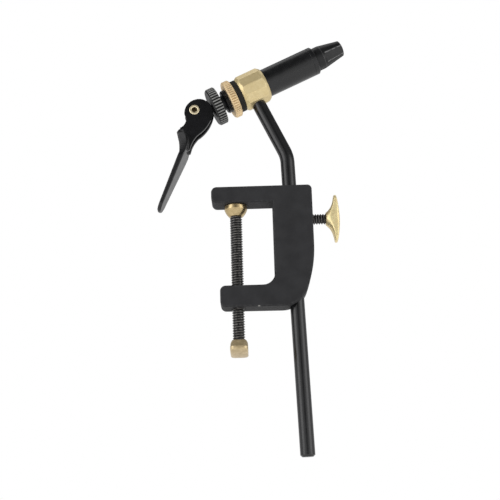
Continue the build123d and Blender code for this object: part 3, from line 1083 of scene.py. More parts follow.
@dataclass(frozen=True)
class Thread:
    """A cut screw thread, as it winds along a rod, and the blunt nose of a stud."""

    pitch: float = 1.5
    depth: float = 0.62
    crest_share: float = 0.22
    flank_share: float = 0.26
    columns: int = 48
    lead: float = 0.5
    nose_radius: float = 2.3
    nose_chamfer: float = 0.4

    def cut(self, phase: float) -> float:
        """The share of the depth cut away at a phase of the turn: 0 on the crest, 1 in the root."""
        return held(min(phase - self.crest_share, 1.0 - phase) / self.flank_share)

    def radius(self, station: float, angle_share: float, run: Run) -> Cut:
        """What the thread leaves of its rod, with tapered leads at its ends.

        Args:
            station: The place along the axis.
            angle_share: The share of a turn.
            run: The thread's stretch.

        Returns:
            The radius and relief there.
        """
        share = self.cut(((station - run.start) / self.pitch - angle_share) % 1.0)
        lead_in = max(0.0, min(station - run.start, run.end - station))
        ceiling = run.crest - self.depth + lead_in * self.depth / self.lead
        # Crests count as edges and roots as roots, so the finish lightens crests with scuffing and a
        # painted highlight and darkens roots with soiling and painted shade.
        return min(run.crest - self.depth * share, ceiling), EDGE + (ROOT - EDGE) * share

    def wind(self, draft: Draft, stand: Stand, run: Run) -> list[list[int]]:
        """Winds the thread along a stand's axis.

        Args:
            draft: The mesh that it joins.
            stand: Where the axis lies.
            run: The thread's stretch.

        Returns:
            The loops of points at its start and end.
        """
        crest, flank = self.crest_share, self.flank_share
        phases = (0.0, crest / 2, crest, crest + flank, 1.0 - flank, 1.0 - flank / 2)
        shares = [column / self.columns for column in range(self.columns)]

        def loop(stations: Sequence[float], crest_relief: bool = True) -> list[int]:
            """One row of the thread's points.

            Args:
                stations: Each column's place along the axis.
                crest_relief: Whether the row has its own reliefs.

            Returns:
                The row's points.
            """
            cuts = [self.radius(station, share, run) for station, share in zip(stations, shares)]
            places = zip(stations, cuts, shares)
            points = [stand.around(station, cut[0], FULL_TURN * share) for station, cut, share in places]
            return draft.ring(points, [relief for _, relief in cuts] if crest_relief else ())

        rows = []
        for turn in range(-1, ceil((run.end - run.start) / self.pitch) + 1):
            for phase in phases:
                ahead = [run.start + self.pitch * (turn + phase + share) for share in shares]
                rows.append(loop([held(station, run.start, run.end) for station in ahead]))
        onward = rows[len(phases):]
        wound = [row + later[:1] for row, later in zip(rows, onward)] + rows[len(onward):]
        for low, high in zip(wound, wound[1:]):
            for here in range(min(len(low), len(high)) - 1):
                draft.faces.append((low[here], low[here + 1], high[here + 1], high[here]))
        return [loop([station] * self.columns, crest_relief=False) for station in (run.start, run.end)]

    def stud(self, name: str, stand: Stand, tip: float, run: Run) -> Piece:
        """A threaded stud, with a turned nose beyond its start.

        Args:
            name: The piece's name.
            stand: Where its axis lies.
            tip: Where the nose ends.
            run: The thread's stretch, from the nose on.

        Returns:
            The stud.
        """
        draft = Draft()
        first, final = self.wind(draft, stand, run)
        nose = [
            Mark(run.start, self.nose_radius),
            Mark(tip + self.nose_chamfer, self.nose_radius, EDGE),
            Mark(tip, self.nose_radius - self.nose_chamfer),
        ]
        rings = [first] + [draft.circle(stand, mark, self.columns) for mark in nose]
        draft.skin(rings)
        draft.faces += [tuple(rings[-1]), tuple(final)]
        return draft.finish(name)


@dataclass
class ThumbWing:
    """A cast thumb wing: a trumpet about its screw, trimmed to a rounded bar, with soft edges."""

    node: str
    axis: Stand
    up: Vector
    bore: float
    rim_setback: float = 2.3
    softness: float = 5.0
    rim_radius: float = 16.5
    rim_thickness: float = 0.8
    rim_swell: float = 0.93
    hub_wall: float = 0.6
    corner_radius: float = 2.6
    flare: tuple[Point, Point] = ((0.148, 0.50), (0.375, 0.94))
    tip_softness: float = 14.0
    stations: int = 64
    around: int = 56
    halvings: int = 40
    socket_depth: float = 5.0
    socket_over: float = 1.0

    @cached_property
    def hub(self) -> Stand:
        """The middle of the wing's base, with up along its span."""
        return Stand(self.axis.at(self.axis.span(self.node)[0]), self.axis.along, self.up)

    @cached_property
    def size(self) -> list[float]:
        """The wing's height, half its span and half its width, from the CAD node."""
        ways = (self.hub.along, self.hub.up, self.hub.out)
        return [Stand(self.hub.origin, way, self.hub.along).span(self.node)[1] for way in ways]

    def faces(self, reach: float) -> Point:
        """How far the wing's trumpet back and domed front stand from its base.

        Args:
            reach: The distance from the screw.

        Returns:
            The back's distance, then the front's.
        """
        height, hub = self.size[0], self.bore + self.hub_wall
        dome = (self.rim_radius**2 + self.rim_setback**2) / (2 * self.rim_setback)
        front = height - dome + sqrt(dome**2 - reach**2)
        if reach <= hub:
            return 0.0, front
        (first_out, first_up), (second_out, second_up) = self.flare
        low, high = 0.0, 1.0
        for _ in range(self.halvings):
            share = (low + high) / 2
            early, late = 3 * share * (1 - share) ** 2, 3 * share**2 * (1 - share)
            place = hub + (self.rim_radius - hub) * (early * first_out + late * second_out + share**3)
            low, high = (share, high) if place < reach else (low, share)
        rise = height - self.rim_setback - self.rim_thickness
        return rise * (early * first_up + late * second_up + share**3), front

    def build(self, name: str) -> Piece:
        """Casts the wing over its CAD node, thinned towards its tips.

        Args:
            name: The piece's name.

        Returns:
            The wing.
        """
        _, span, half_width = self.size
        power = 2 / self.softness
        draft = Draft()
        rings = []
        for number in range(self.stations + 1):
            x = -span * cos(pi * number / self.stations)
            past = max(0.0, abs(x) - (span - self.corner_radius))
            trim = self.corner_radius - sqrt(max(0.0, self.corner_radius**2 - past**2))
            tip = (1 - (abs(x) / span) ** self.tip_softness) ** (1 / self.tip_softness)
            points, reliefs = [], []
            for side in range(self.around):
                angle = FULL_TURN * (side + 0.5) / self.around
                wide, tall = (copysign(abs(part) ** power, part) for part in (cos(angle), sin(angle)))
                y, swell = (half_width - trim) * wide, tip * tall
                low, high = self.faces(hypot(x, y))
                points.append(self.hub.at((low + high) / 2 + (high - low) / 2 * swell, x, y))
                rim = max(abs(wide) if abs(swell) < self.rim_swell else 0.0, 1 - tip)
                reliefs.append(PLAIN + (EDGE - PLAIN) * min(1.0, rim))
            rings.append(draft.ring(points, reliefs))
        draft.skin(rings)
        wing = draft.finish(name)
        carve(wing, plug(self.hub, -self.socket_over, self.socket_depth, self.bore))
        return wing


SCREW = Stand(ORIGIN, -UP, ALONG)


@dataclass
class TableClamp:
    """The C-clamp: its casting, screw, swivel pad and the screw's thumb wing."""

    stem: Stand
    lock: Stand
    upper_reach: float = 14.3
    upper_thickness: float = 9.8
    lower_reach: float = 10.2
    lower_thickness: float = 12.6
    throat_height: float = 50.0
    throat_depth: float = 21.9
    outer_wall: float = 45.3
    straight_drop: float = 26.5
    sweep_radius: float = 74.0
    sweep_angle: float = 21.0
    sweep_steps: int = 8
    heel_radius: float = 15.4
    heel_steps: int = 12
    throat_radius: float = 7.0
    arm_end_radius: float = 3.2
    top_corner_radius: float = 2.6
    corner_steps: int = 8
    rim_radius: float = 0.9
    bore_flare: float = 0.35
    stem_radius: float = 4.31
    stud_radius: float = 3.16
    stud_bore_depth: float = 12.0
    screw_radius: float = 3.6
    screw_clearance: float = 0.06
    pad_rim: float = 2.6
    pad_throat_radius: float = 4.1
    pad_round: float = 0.55
    pad_edge: float = 0.3
    pad_bulge: float = 0.45
    pad_steps: int = 10
    pad_play: float = 0.1
    pad_trim: float = 0.4
    thread: Thread = Thread()
    wing_setback: float = 4.0
    wing_softness: float = 8.0

    def outline(self) -> list[Mark]:
        """The casting's side view, round its arms, its swept back and its throat.

        Returns:
            The closed outline, with its corners rounded.
        """
        turn = -radians(self.sweep_angle)
        sweep = (self.outer_wall - self.sweep_radius, -self.straight_drop)
        back = arc(sweep, self.sweep_radius, 0.0, turn, self.sweep_steps)
        end_x, end_z = back[-1]
        heel = (end_x - self.heel_radius * cos(turn), end_z - self.heel_radius * sin(turn))
        corners = [
            (-self.upper_reach, 0.0, self.arm_end_radius),
            (-self.upper_reach, self.upper_thickness, self.arm_end_radius),
            (self.outer_wall, self.upper_thickness, self.top_corner_radius),
            *back,
            *arc(heel, self.heel_radius, turn, -pi / 2, self.heel_steps)[1:],
            (-self.lower_reach, -self.throat_height - self.lower_thickness, self.arm_end_radius),
            (-self.lower_reach, -self.throat_height, self.arm_end_radius),
            (self.throat_depth, -self.throat_height, self.throat_radius),
            (self.throat_depth, 0.0),
        ]
        return rounded(corners, steps=self.corner_steps)

    def casting(self) -> None:
        """Casts the frame and bores it for the stem, its lock and the clamp screw."""
        low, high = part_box("clamp_frame")
        half_width = (high.y - low.y) / 2 / MM
        side_view = Stand(ORIGIN, ALONG, UP)
        body = slab("clamp_casting", side_view, self.outline(), half_width, self.rim_radius)
        through = 2 * (high.z - low.z) / MM
        carve(body, plug(self.stem, -through, through, self.stem_radius))
        mouth = self.outer_wall - self.lock.origin.x / MM
        flare = self.bore_flare
        carve(body, plug(self.lock, mouth - self.stud_bore_depth, mouth + flare, self.stud_radius, flare))
        top, floor = self.throat_height, self.throat_height + self.lower_thickness
        bore = self.screw_radius + self.screw_clearance
        carve(body, plug(SCREW, top - flare, floor + flare, bore, 2 * flare))
        dress(body, "frame", "black_casting", CAST_PAINT, "clamp_frame")

    def pad(self) -> None:
        """Turns the brass swivel pad: a straight rim over a bowl that is nearly a cone."""
        top, foot = SCREW.span("clamp_pad")
        rim = SCREW.radius("clamp_pad") - self.pad_trim
        lip = top + self.pad_rim
        drop = rim - self.pad_throat_radius
        bowl = (drop**2 + (foot - lip) ** 2) / (2 * drop)
        sweep = acos((bowl - drop) / bowl)
        curve = []
        for step in range(1, self.pad_steps + 1):
            share = step / self.pad_steps
            turn = sweep * share
            round_place = Vector((lip + bowl * sin(turn), rim - bowl * (1 - cos(turn))))
            cone_place = Vector((lip + (foot - lip) * share, rim - drop * share))
            curve.append(tuple(cone_place.lerp(round_place, self.pad_bulge)))
        corners = [(top, 0.0), (top, rim, self.pad_round), (lip, rim, self.pad_edge), *curve]
        socket = SCREW.span("clamp_screw")[0] - self.pad_play
        bore = self.thread.nose_radius + self.pad_play
        inner = [Mark(foot, bore), Mark(socket, bore), Mark(socket, 0.0)]
        piece = turned("swivel_pad", SCREW, rounded(corners, closed=False) + inner, ends=Ends.OPEN)
        dress(piece, "pad", "pale_brass", PAD_BRASS, "clamp_pad")

    def build(self) -> None:
        """Builds every piece of the clamp."""
        self.casting()
        self.pad()
        tip, tail = SCREW.span("clamp_screw")
        shoulder = SCREW.span("clamp_pad")[1] + self.pad_play
        rod = self.thread.stud("clamp_thread", SCREW, tip, Run(shoulder, tail, self.screw_radius))
        dress(rod, "screw", "black_thread", THREAD_BLACK, "clamp_screw")
        form = (self.screw_radius, self.wing_setback, self.wing_softness)
        wing = ThumbWing("clamp_wing", SCREW, ACROSS, *form).build("clamp_thumb_wing")
        dress(wing, "screw", "cast_brass", FOOT_BRASS, "clamp_wing")


@dataclass
class StemLock:
    """The threaded stud and thumb wing that lock the stem in the clamp."""

    lock: Stand
    stud_radius: float = 3.1
    nose_length: float = 2.2
    thread: Thread = Thread()

    def build(self) -> None:
        """Builds the stud and its wing."""
        tip, tail = self.lock.span("lock_stud")
        run = Run(tip + self.nose_length, tail, self.stud_radius)
        stud = self.thread.stud("lock_thread", self.lock, tip, run)
        dress(stud, "lock_stud", "black_thread", THREAD_BLACK, "lock_stud")
        wing = ThumbWing("lock_wing", self.lock, UP, self.stud_radius).build("lock_thumb_wing")
        dress(wing, "lock_wing", "cast_brass", WING_BRASS, "lock_wing")


@dataclass
class StemRod:
    """The round bar that carries the head, bent once below it."""

    stem: Stand
    head: Stand
    radius: float = 4.25
    bend_radius: float = 20.0
    foot_chamfer: float = 1.1
    foot_round: float = 0.35
    foot_run: float = 8.0
    socket_depth: float = 2.0
    collar_flat: float = 10.8
    bend_steps: int = 24
    sides: int = 72

    def route(self) -> tuple[list[Vector], list[Vector]]:
        """The bar's centre line and heading, from its foot to the collar.

        Returns:
            Points in metres, and the heading at each.
        """
        foot = self.stem.at(self.stem.span("stem")[0])
        top = self.head.at(0.0, self.socket_depth - self.collar_flat)
        rise = (top - foot).dot(self.stem.along)
        aside = (top - foot) - self.stem.along * rise
        lean = self.stem.along.angle(self.head.up)
        corner = foot + self.stem.along * (rise - aside.length / tan(lean))
        start = corner - self.stem.along * self.bend_radius * MM * tan(lean / 2)
        aside.normalize()
        centre = start + aside * self.bend_radius * MM
        points, headings = [foot, start], [self.stem.along, self.stem.along]
        for step in range(1, self.bend_steps + 1):
            turn = lean * step / self.bend_steps
            spoke = self.stem.along * sin(turn) - aside * cos(turn)
            points.append(centre + spoke * self.bend_radius * MM)
            headings.append(self.stem.along * cos(turn) + aside * sin(turn))
        return points + [top], headings + [self.head.up]

    def build(self) -> None:
        """Draws the bar along its route, with a chamfered foot."""
        points, headings = self.route()
        radius, chamfer = self.radius, self.foot_chamfer
        corners = [(0.0, 0.0), (0.0, radius - chamfer), (chamfer, radius), (self.foot_run, radius)]
        foot = rounded(corners, self.foot_round, closed=False)[1:]
        stations = [(points[0] + headings[0] * mark.x * MM, headings[0], mark) for mark in foot]
        stations += [(place, way, Mark(0.0, radius)) for place, way in zip(points[1:], headings[1:])]
        angles = [FULL_TURN * side / self.sides for side in range(self.sides)]
        draft = Draft()
        rings = []
        travelled, before = 0.0, stations[0][0]
        for place, way, mark in stations:
            travelled += (place - before).length / MM
            before = place
            section = Stand(place, way, ACROSS)
            loop = [section.around(0.0, mark.y, angle) for angle in angles]
            rings.append(draft.ring(loop, [mark.relief] * self.sides, (travelled, 0.0)))
        draft.skin(rings, Ends.CAPPED)
        dress(draft.finish("stem_bar"), "stem", "black_satin", SATIN_BAR, "stem")


@dataclass(frozen=True)
class Knurl:
    """Straight grooves pressed round a rim: a shape to turn it with."""

    teeth: int
    rim: float
    depth: float = 0.42
    gap_share: float = 0.42
    flank_share: float = 0.13
    per_tooth: int = 10

    @property
    def sides(self) -> int:
        """Facets around a rim that shows each groove."""
        return self.teeth * self.per_tooth

    def __call__(self, angle: float, mark: Mark) -> Cut:
        """What the grooves leave of the rim.

        Args:
            angle: The angle about the axis.
            mark: A mark of the rim's profile.

        Returns:
            The radius and relief there.
        """
        phase = abs((angle * self.teeth / FULL_TURN + 0.5) % 1.0 - 0.5)
        share = held((self.gap_share / 2 + self.flank_share / 2 - phase) / self.flank_share)
        floor = self.rim - self.depth * share
        # Crests count as edges, which the finish lightens with scuffing and a painted highlight; grooves
        # count as roots, which it darkens with soiling and painted shade.
        crest_relief = EDGE if mark.y > self.rim - self.depth else mark.relief
        if mark.y <= floor:
            return mark.y, crest_relief
        return floor, crest_relief + (ROOT - crest_relief) * share


@dataclass(frozen=True)
class Facets:
    """Flats milled round a turned piece: a shape to turn it with."""

    count: int
    flat: float
    softness: float = 0.10
    rubbed_and_highlit_width: float = 0.35
    per_flat: int = 24

    @property
    def sides(self) -> int:
        """Facets around a piece that shows each flat's corners."""
        return self.count * self.per_flat

    def __call__(self, angle: float, mark: Mark) -> Cut:
        """What the flats leave of the round.

        Args:
            angle: The angle about the axis.
            mark: A mark of the piece's profile.

        Returns:
            The radius and relief there.
        """
        pitch = FULL_TURN / self.count
        phase = angle % pitch - pitch / 2
        limit = self.flat / cos(phase)
        over = mark.y - limit
        blend = max(self.softness - abs(over), 0.0) / self.softness
        radius = min(mark.y, limit) - blend**2 * self.softness / 4
        # The flats' corners count as edges, which the brass lightens: burnishing, and partly a painted
        # highlight.
        corner = max(0.0, 1 - (pitch / 2 - abs(phase)) * self.flat / self.rubbed_and_highlit_width)
        near = max(blend, corner if over > 0 else 0.0)
        return radius, max(mark.relief, PLAIN + (EDGE - PLAIN) * near)


def graded(marks: Sequence[Mark], longest: float) -> list[Mark]:
    """A closed profile with its long runs divided, so that cuts across it show as clean lines.

    Args:
        marks: The profile.
        longest: The longest run that is left, in millimetres.

    Returns:
        The finer profile.
    """
    fine: list[Mark] = []
    for mark, after in zip(marks, [*marks[1:], marks[0]]):
        run_x, run_y = after.x - mark.x, after.y - mark.y
        steps = max(1, ceil(hypot(run_x, run_y) / longest))
        fine.append(mark)
        for step in range(1, steps):
            fine.append(Mark(mark.x + run_x * step / steps, mark.y + run_y * step / steps))
    return fine


def mirrored(reach: Point, half: Sequence[Corner]) -> list[Corner]:
    """A profile that is alike at both ends.

    Args:
        reach: Where it starts and ends along the axis.
        half: Corners of its first half, as distances in from the end, radii and corner radii.

    Returns:
        The corners of the whole.
    """
    back, front = reach
    near = [(back + inward, *rest) for inward, *rest in half]
    return near + [(front - inward, *rest) for inward, *rest in reversed(half)]


@dataclass
class Head:
    """The collar on the stem, its washer and lock ring, and the barrel that turns in them."""

    head: Stand
    collar_facets: Facets = Facets(12, 10.8)
    collar_face: float = 9.6
    collar_bevel: float = 2.2
    collar_over: float = 0.1
    collar_rounds: Point = (0.2, 0.3)
    collar_rows: float = 0.16
    journal_radius: float = 7.3
    bore_clearance: float = 0.06
    washer_round: float = 0.35
    barrel_radius: float = 8.75
    barrel_shoulder: float = 9.5
    shoulder_round: float = 0.35
    mouth_groove: Triple = (3.6, 3.0, 0.25)
    groove_rounds: Point = (0.12, 0.05)
    rim_chamfer: float = 0.6
    rim_round: float = 0.25
    neck_bore: float = 4.66
    rod_bore: float = 2.26
    guide_bore: float = 4.96
    mouth_bore: float = 7.36
    mouth_round: float = 0.1
    rear_bore_depth: float = 12.7
    seat_depth: float = 43.0
    mouth_land: float = 2.0
    seat_angle: float = 12.0
    tail_length: float = 2.9
    tail_chamfer: float = 0.8
    tail_round: float = 0.2
    tail_skin: float = 0.1
    tail_run: Point = (0.5, 0.6)
    tail_cut: Point = (0.8, 0.5)
    tail_rows: Point = (0.9, 0.4)
    rows_per_turn: int = 10
    tail_thread: Thread = Thread(pitch=0.95, depth=0.34)
    ring_chamfer: float = 0.7
    ring_round: float = 0.25
    ring_rows: float = 0.7
    ring_teeth: int = 48

    @property
    def bore(self) -> float:
        """The radius of a bore that turns on the barrel's tail."""
        return self.journal_radius + self.bore_clearance

    def collar(self) -> None:
        """Turns the collar, then mills its flats."""
        facets = self.collar_facets
        corner = facets.flat / cos(pi / facets.count) + self.collar_over
        bore_round, face_round = self.collar_rounds
        half = [
            (0.0, self.bore, bore_round),
            (0.0, self.collar_face, face_round),
            (self.collar_bevel, corner),
        ]
        profile = graded(rounded(mirrored(self.head.span("head_collar"), half)), self.collar_rows)
        piece = turned("faceted_collar", self.head, profile, facets.sides, facets)
        dress(piece, "stem", "turned_brass", COLLAR_BRASS, "head_collar")

    def washer(self) -> None:
        """Presses the friction washer."""
        half = [(0.0, self.bore), (0.0, self.head.radius("friction_washer"))]
        profile = rounded(mirrored(self.head.span("friction_washer"), half), self.washer_round)
        piece = turned("friction_disc", self.head, profile)
        dress(piece, "stem", "black_fibre", WASHER_FIBRE, "friction_washer")

    def lock_ring(self) -> None:
        """Turns the lock ring and presses its knurl."""
        rim, cut = self.head.radius("lock_ring"), self.ring_chamfer
        knurl = Knurl(self.ring_teeth, rim)
        half = [(0.0, self.bore), (0.0, rim - cut), (cut, rim)]
        corners = mirrored(self.head.span("lock_ring"), half)
        profile = graded(rounded(corners, self.ring_round), self.ring_rows)
        piece = turned("knurled_lock_ring", self.head, profile, knurl.sides, knurl)
        dress(piece, "lock_ring", "knurled_brass", RING_BRASS, "lock_ring")

    def barrel(self) -> None:
        """Turns the barrel, with a fine thread on its tail and a stepped bore for the jaws."""
        back, front = self.head.span("barrel")
        groove_back, groove_front, groove_depth = self.mouth_groove
        groove_rim, groove_floor = self.groove_rounds
        seat = front - self.mouth_land
        seat_run = (self.mouth_bore - self.guide_bore) / tan(radians(self.seat_angle))
        rim, journal = self.barrel_radius, self.journal_radius
        tail, chamfer = self.tail_chamfer, self.rim_chamfer
        corners = [
            (back, self.neck_bore),
            (back, journal - tail, self.tail_round),
            (back + tail, journal, self.tail_round),
            (self.barrel_shoulder, journal),
            (self.barrel_shoulder, rim, self.shoulder_round),
            (front - groove_back, rim, groove_rim),
            (front - groove_back, rim - groove_depth, groove_floor),
            (front - groove_front, rim - groove_depth, groove_floor),
            (front - groove_front, rim, groove_rim),
            (front - chamfer, rim, self.rim_round),
            (front, rim - chamfer, self.rim_round),
            (front, self.mouth_bore, self.mouth_round),
            (seat, self.mouth_bore),
            (seat - seat_run, self.guide_bore),
            (front - self.seat_depth, self.guide_bore),
            (front - self.seat_depth, self.rod_bore),
            (back + self.rear_bore_depth, self.rod_bore),
            (back + self.rear_bore_depth, self.neck_bore),
        ]
        end = back + self.tail_length
        first, last = back + self.tail_cut[0], end + self.tail_cut[1]
        run = Run(back + self.tail_run[0], end + self.tail_run[1], journal)

        def cut(angle: float, mark: Mark) -> Cut:
            """What the tail's thread leaves of the barrel.

            Args:
                angle: The angle about the axis.
                mark: A mark of the barrel's profile.

            Returns:
                The radius and relief there.
            """
            if not first <= mark.x <= last or mark.y < journal - self.tail_skin:
                return mark.y, mark.relief
            return self.tail_thread.radius(mark.x, angle / FULL_TURN, run)

        piece = turned("turned_barrel", self.head, self.threaded_rows(rounded(corners), back), shape=cut)
        dress(piece, "barrel", "black_satin", BARREL_BLACK, "barrel")

    def threaded_rows(self, profile: Sequence[Mark], back: float) -> list[Mark]:
        """The barrel's profile with close rows where the tail's thread runs.

        Args:
            profile: The closed profile.
            back: Where the barrel starts along its axis.

        Returns:
            The finer profile.
        """
        start, end = back + self.tail_rows[0], back + self.tail_length + self.tail_rows[1]
        step = self.tail_thread.pitch / self.rows_per_turn
        rows = []
        for mark, after in zip(profile, [*profile[1:], profile[0]]):
            rows.append(mark)
            straight = max(abs(each.y - self.journal_radius) for each in (mark, after)) < MM
            if straight and mark.x < end < after.x:
                begin = max(start, mark.x)
                count = int((end - begin) / step)
                rows += [Mark(begin + step * number, mark.y) for number in range(1, count + 1)]
                rows.append(Mark(end + 2 * step, mark.y))
        return rows

    def build(self) -> None:
        """Builds every piece of the head but its jaws and drive."""
        self.collar()
        self.washer()
        self.lock_ring()
        self.barrel()


@dataclass
class Jaws:
    """The split collet that holds the hook."""

    head: Stand
    land: float = 4.5
    reach: float = 18.0
    root_radius: float = 7.3
    tip_radius: float = 4.85
    tip_crown: float = 1.0
    crown_steps: int = 6
    mouth_land: float = 2.0
    shank_radius: float = 4.9
    shank_round: float = 0.2
    land_round: float = 0.8
    nose_round: float = 0.5
    seat_angle: float = 12.0
    slit: float = 0.8
    slit_length: float = 30.0
    saw_over: float = 2.0
    saw_half: float = 12.0
    flat_start: float = 6.2
    flat_depth: float = 0.85
    flat_turn: float = 32.0
    flat_rows: int = 12
    step_length: float = 0.01
    rubbed_and_highlit_rim: float = 0.30
    oil_line: Point = (0.25, 0.8)

    def profile(self, back: float, mouth: float, tip: float) -> list[Mark]:
        """The collet's turned shape, with a line of old oil at the barrel and close rows on its flats.

        Args:
            back: Where its shank starts along the axis.
            mouth: Where it leaves the barrel.
            tip: Where its nose ends.

        Returns:
            An open profile that starts and ends on the axis.
        """
        seat, station = mouth - self.mouth_land, mouth + self.flat_start
        run = (self.root_radius - self.shank_radius) / tan(radians(self.seat_angle))
        ball = (self.tip_radius**2 + self.tip_crown**2) / (2 * self.tip_crown)
        rims = [self.tip_radius * step / self.crown_steps for step in reversed(range(self.crown_steps))]
        corners = [
            (back, 0.0),
            (back, self.shank_radius, self.shank_round),
            (seat - run, self.shank_radius),
            (seat, self.root_radius),
            (mouth + self.land, self.root_radius, self.land_round),
            (tip - self.tip_crown, self.tip_radius, self.nose_round),
            *((tip - ball + sqrt(ball**2 - rim**2), rim) for rim in rims),
        ]
        marks = rounded(corners, closed=False)
        oil, clean = (mouth + offset for offset in self.oil_line)
        place = next(number for number, mark in enumerate(marks) if mark.x > clean)
        marks[place:place] = [Mark(oil, self.root_radius, ROOT), Mark(clean, self.root_radius)]
        place = next(number for number, mark in enumerate(marks) if mark.x > station)
        mark, after = marks[place - 1 : place + 1]
        slope = (after.y - mark.y) / (after.x - mark.x)
        pace = (after.x - station) / self.flat_rows
        stations = [station + pace * step for step in range(self.flat_rows)]
        stations.insert(0, station - self.step_length)
        marks[place:place] = [Mark(x, mark.y + slope * (x - mark.x)) for x in stations]
        return marks

    def build(self) -> None:
        """Turns the collet, grinds its two flats and saws its slit."""
        back, tip = self.head.span("jaw_collet")
        mouth = self.head.span("barrel")[1]
        station = mouth + self.flat_start
        slope = (self.root_radius - self.tip_radius) / (self.reach - self.land)
        flat_radius = self.root_radius - slope * (self.flat_start - self.land) - self.flat_depth
        outs = [pi + side * (pi / 2 - radians(self.flat_turn)) for side in (-1, 1)]

        def cut(angle: float, mark: Mark) -> Cut:
            """What the ground flats leave of the nose.

            Args:
                angle: The angle about the axis.
                mark: A mark of the collet's profile.

            Returns:
                The radius and relief there.
            """
            radius, relief = mark.y, mark.relief
            if mark.x < station:
                return radius, relief
            flat = flat_radius - slope * (mark.x - station)
            for out in outs:
                facing = cos(angle - out)
                if facing > 0 and flat / facing < radius:
                    # Rims of the flats count as edges, which the finish lightens: scuffing, and partly a
                    # painted highlight.
                    near = abs(radius - flat / facing) < self.rubbed_and_highlit_rim
                    radius, relief = flat / facing, EDGE if near else PLAIN
            return radius, relief

        profile = self.profile(back, mouth, tip)
        piece = turned("split_jaws", self.head, profile, 2 * TURNED_SIDES, cut, Ends.OPEN)
        near, far, half = -self.saw_over, self.slit_length, self.saw_half
        blade = [Mark(near, -half), Mark(near, half), Mark(far, half), Mark(far, -half)]
        saw = Stand(self.head.at(tip), -self.head.along, self.head.up)
        carve(piece, slab("saw", saw, blade, self.slit / 2))
        dress(piece, "draw", "black_steel", JAW_BLACK, "jaw_collet")


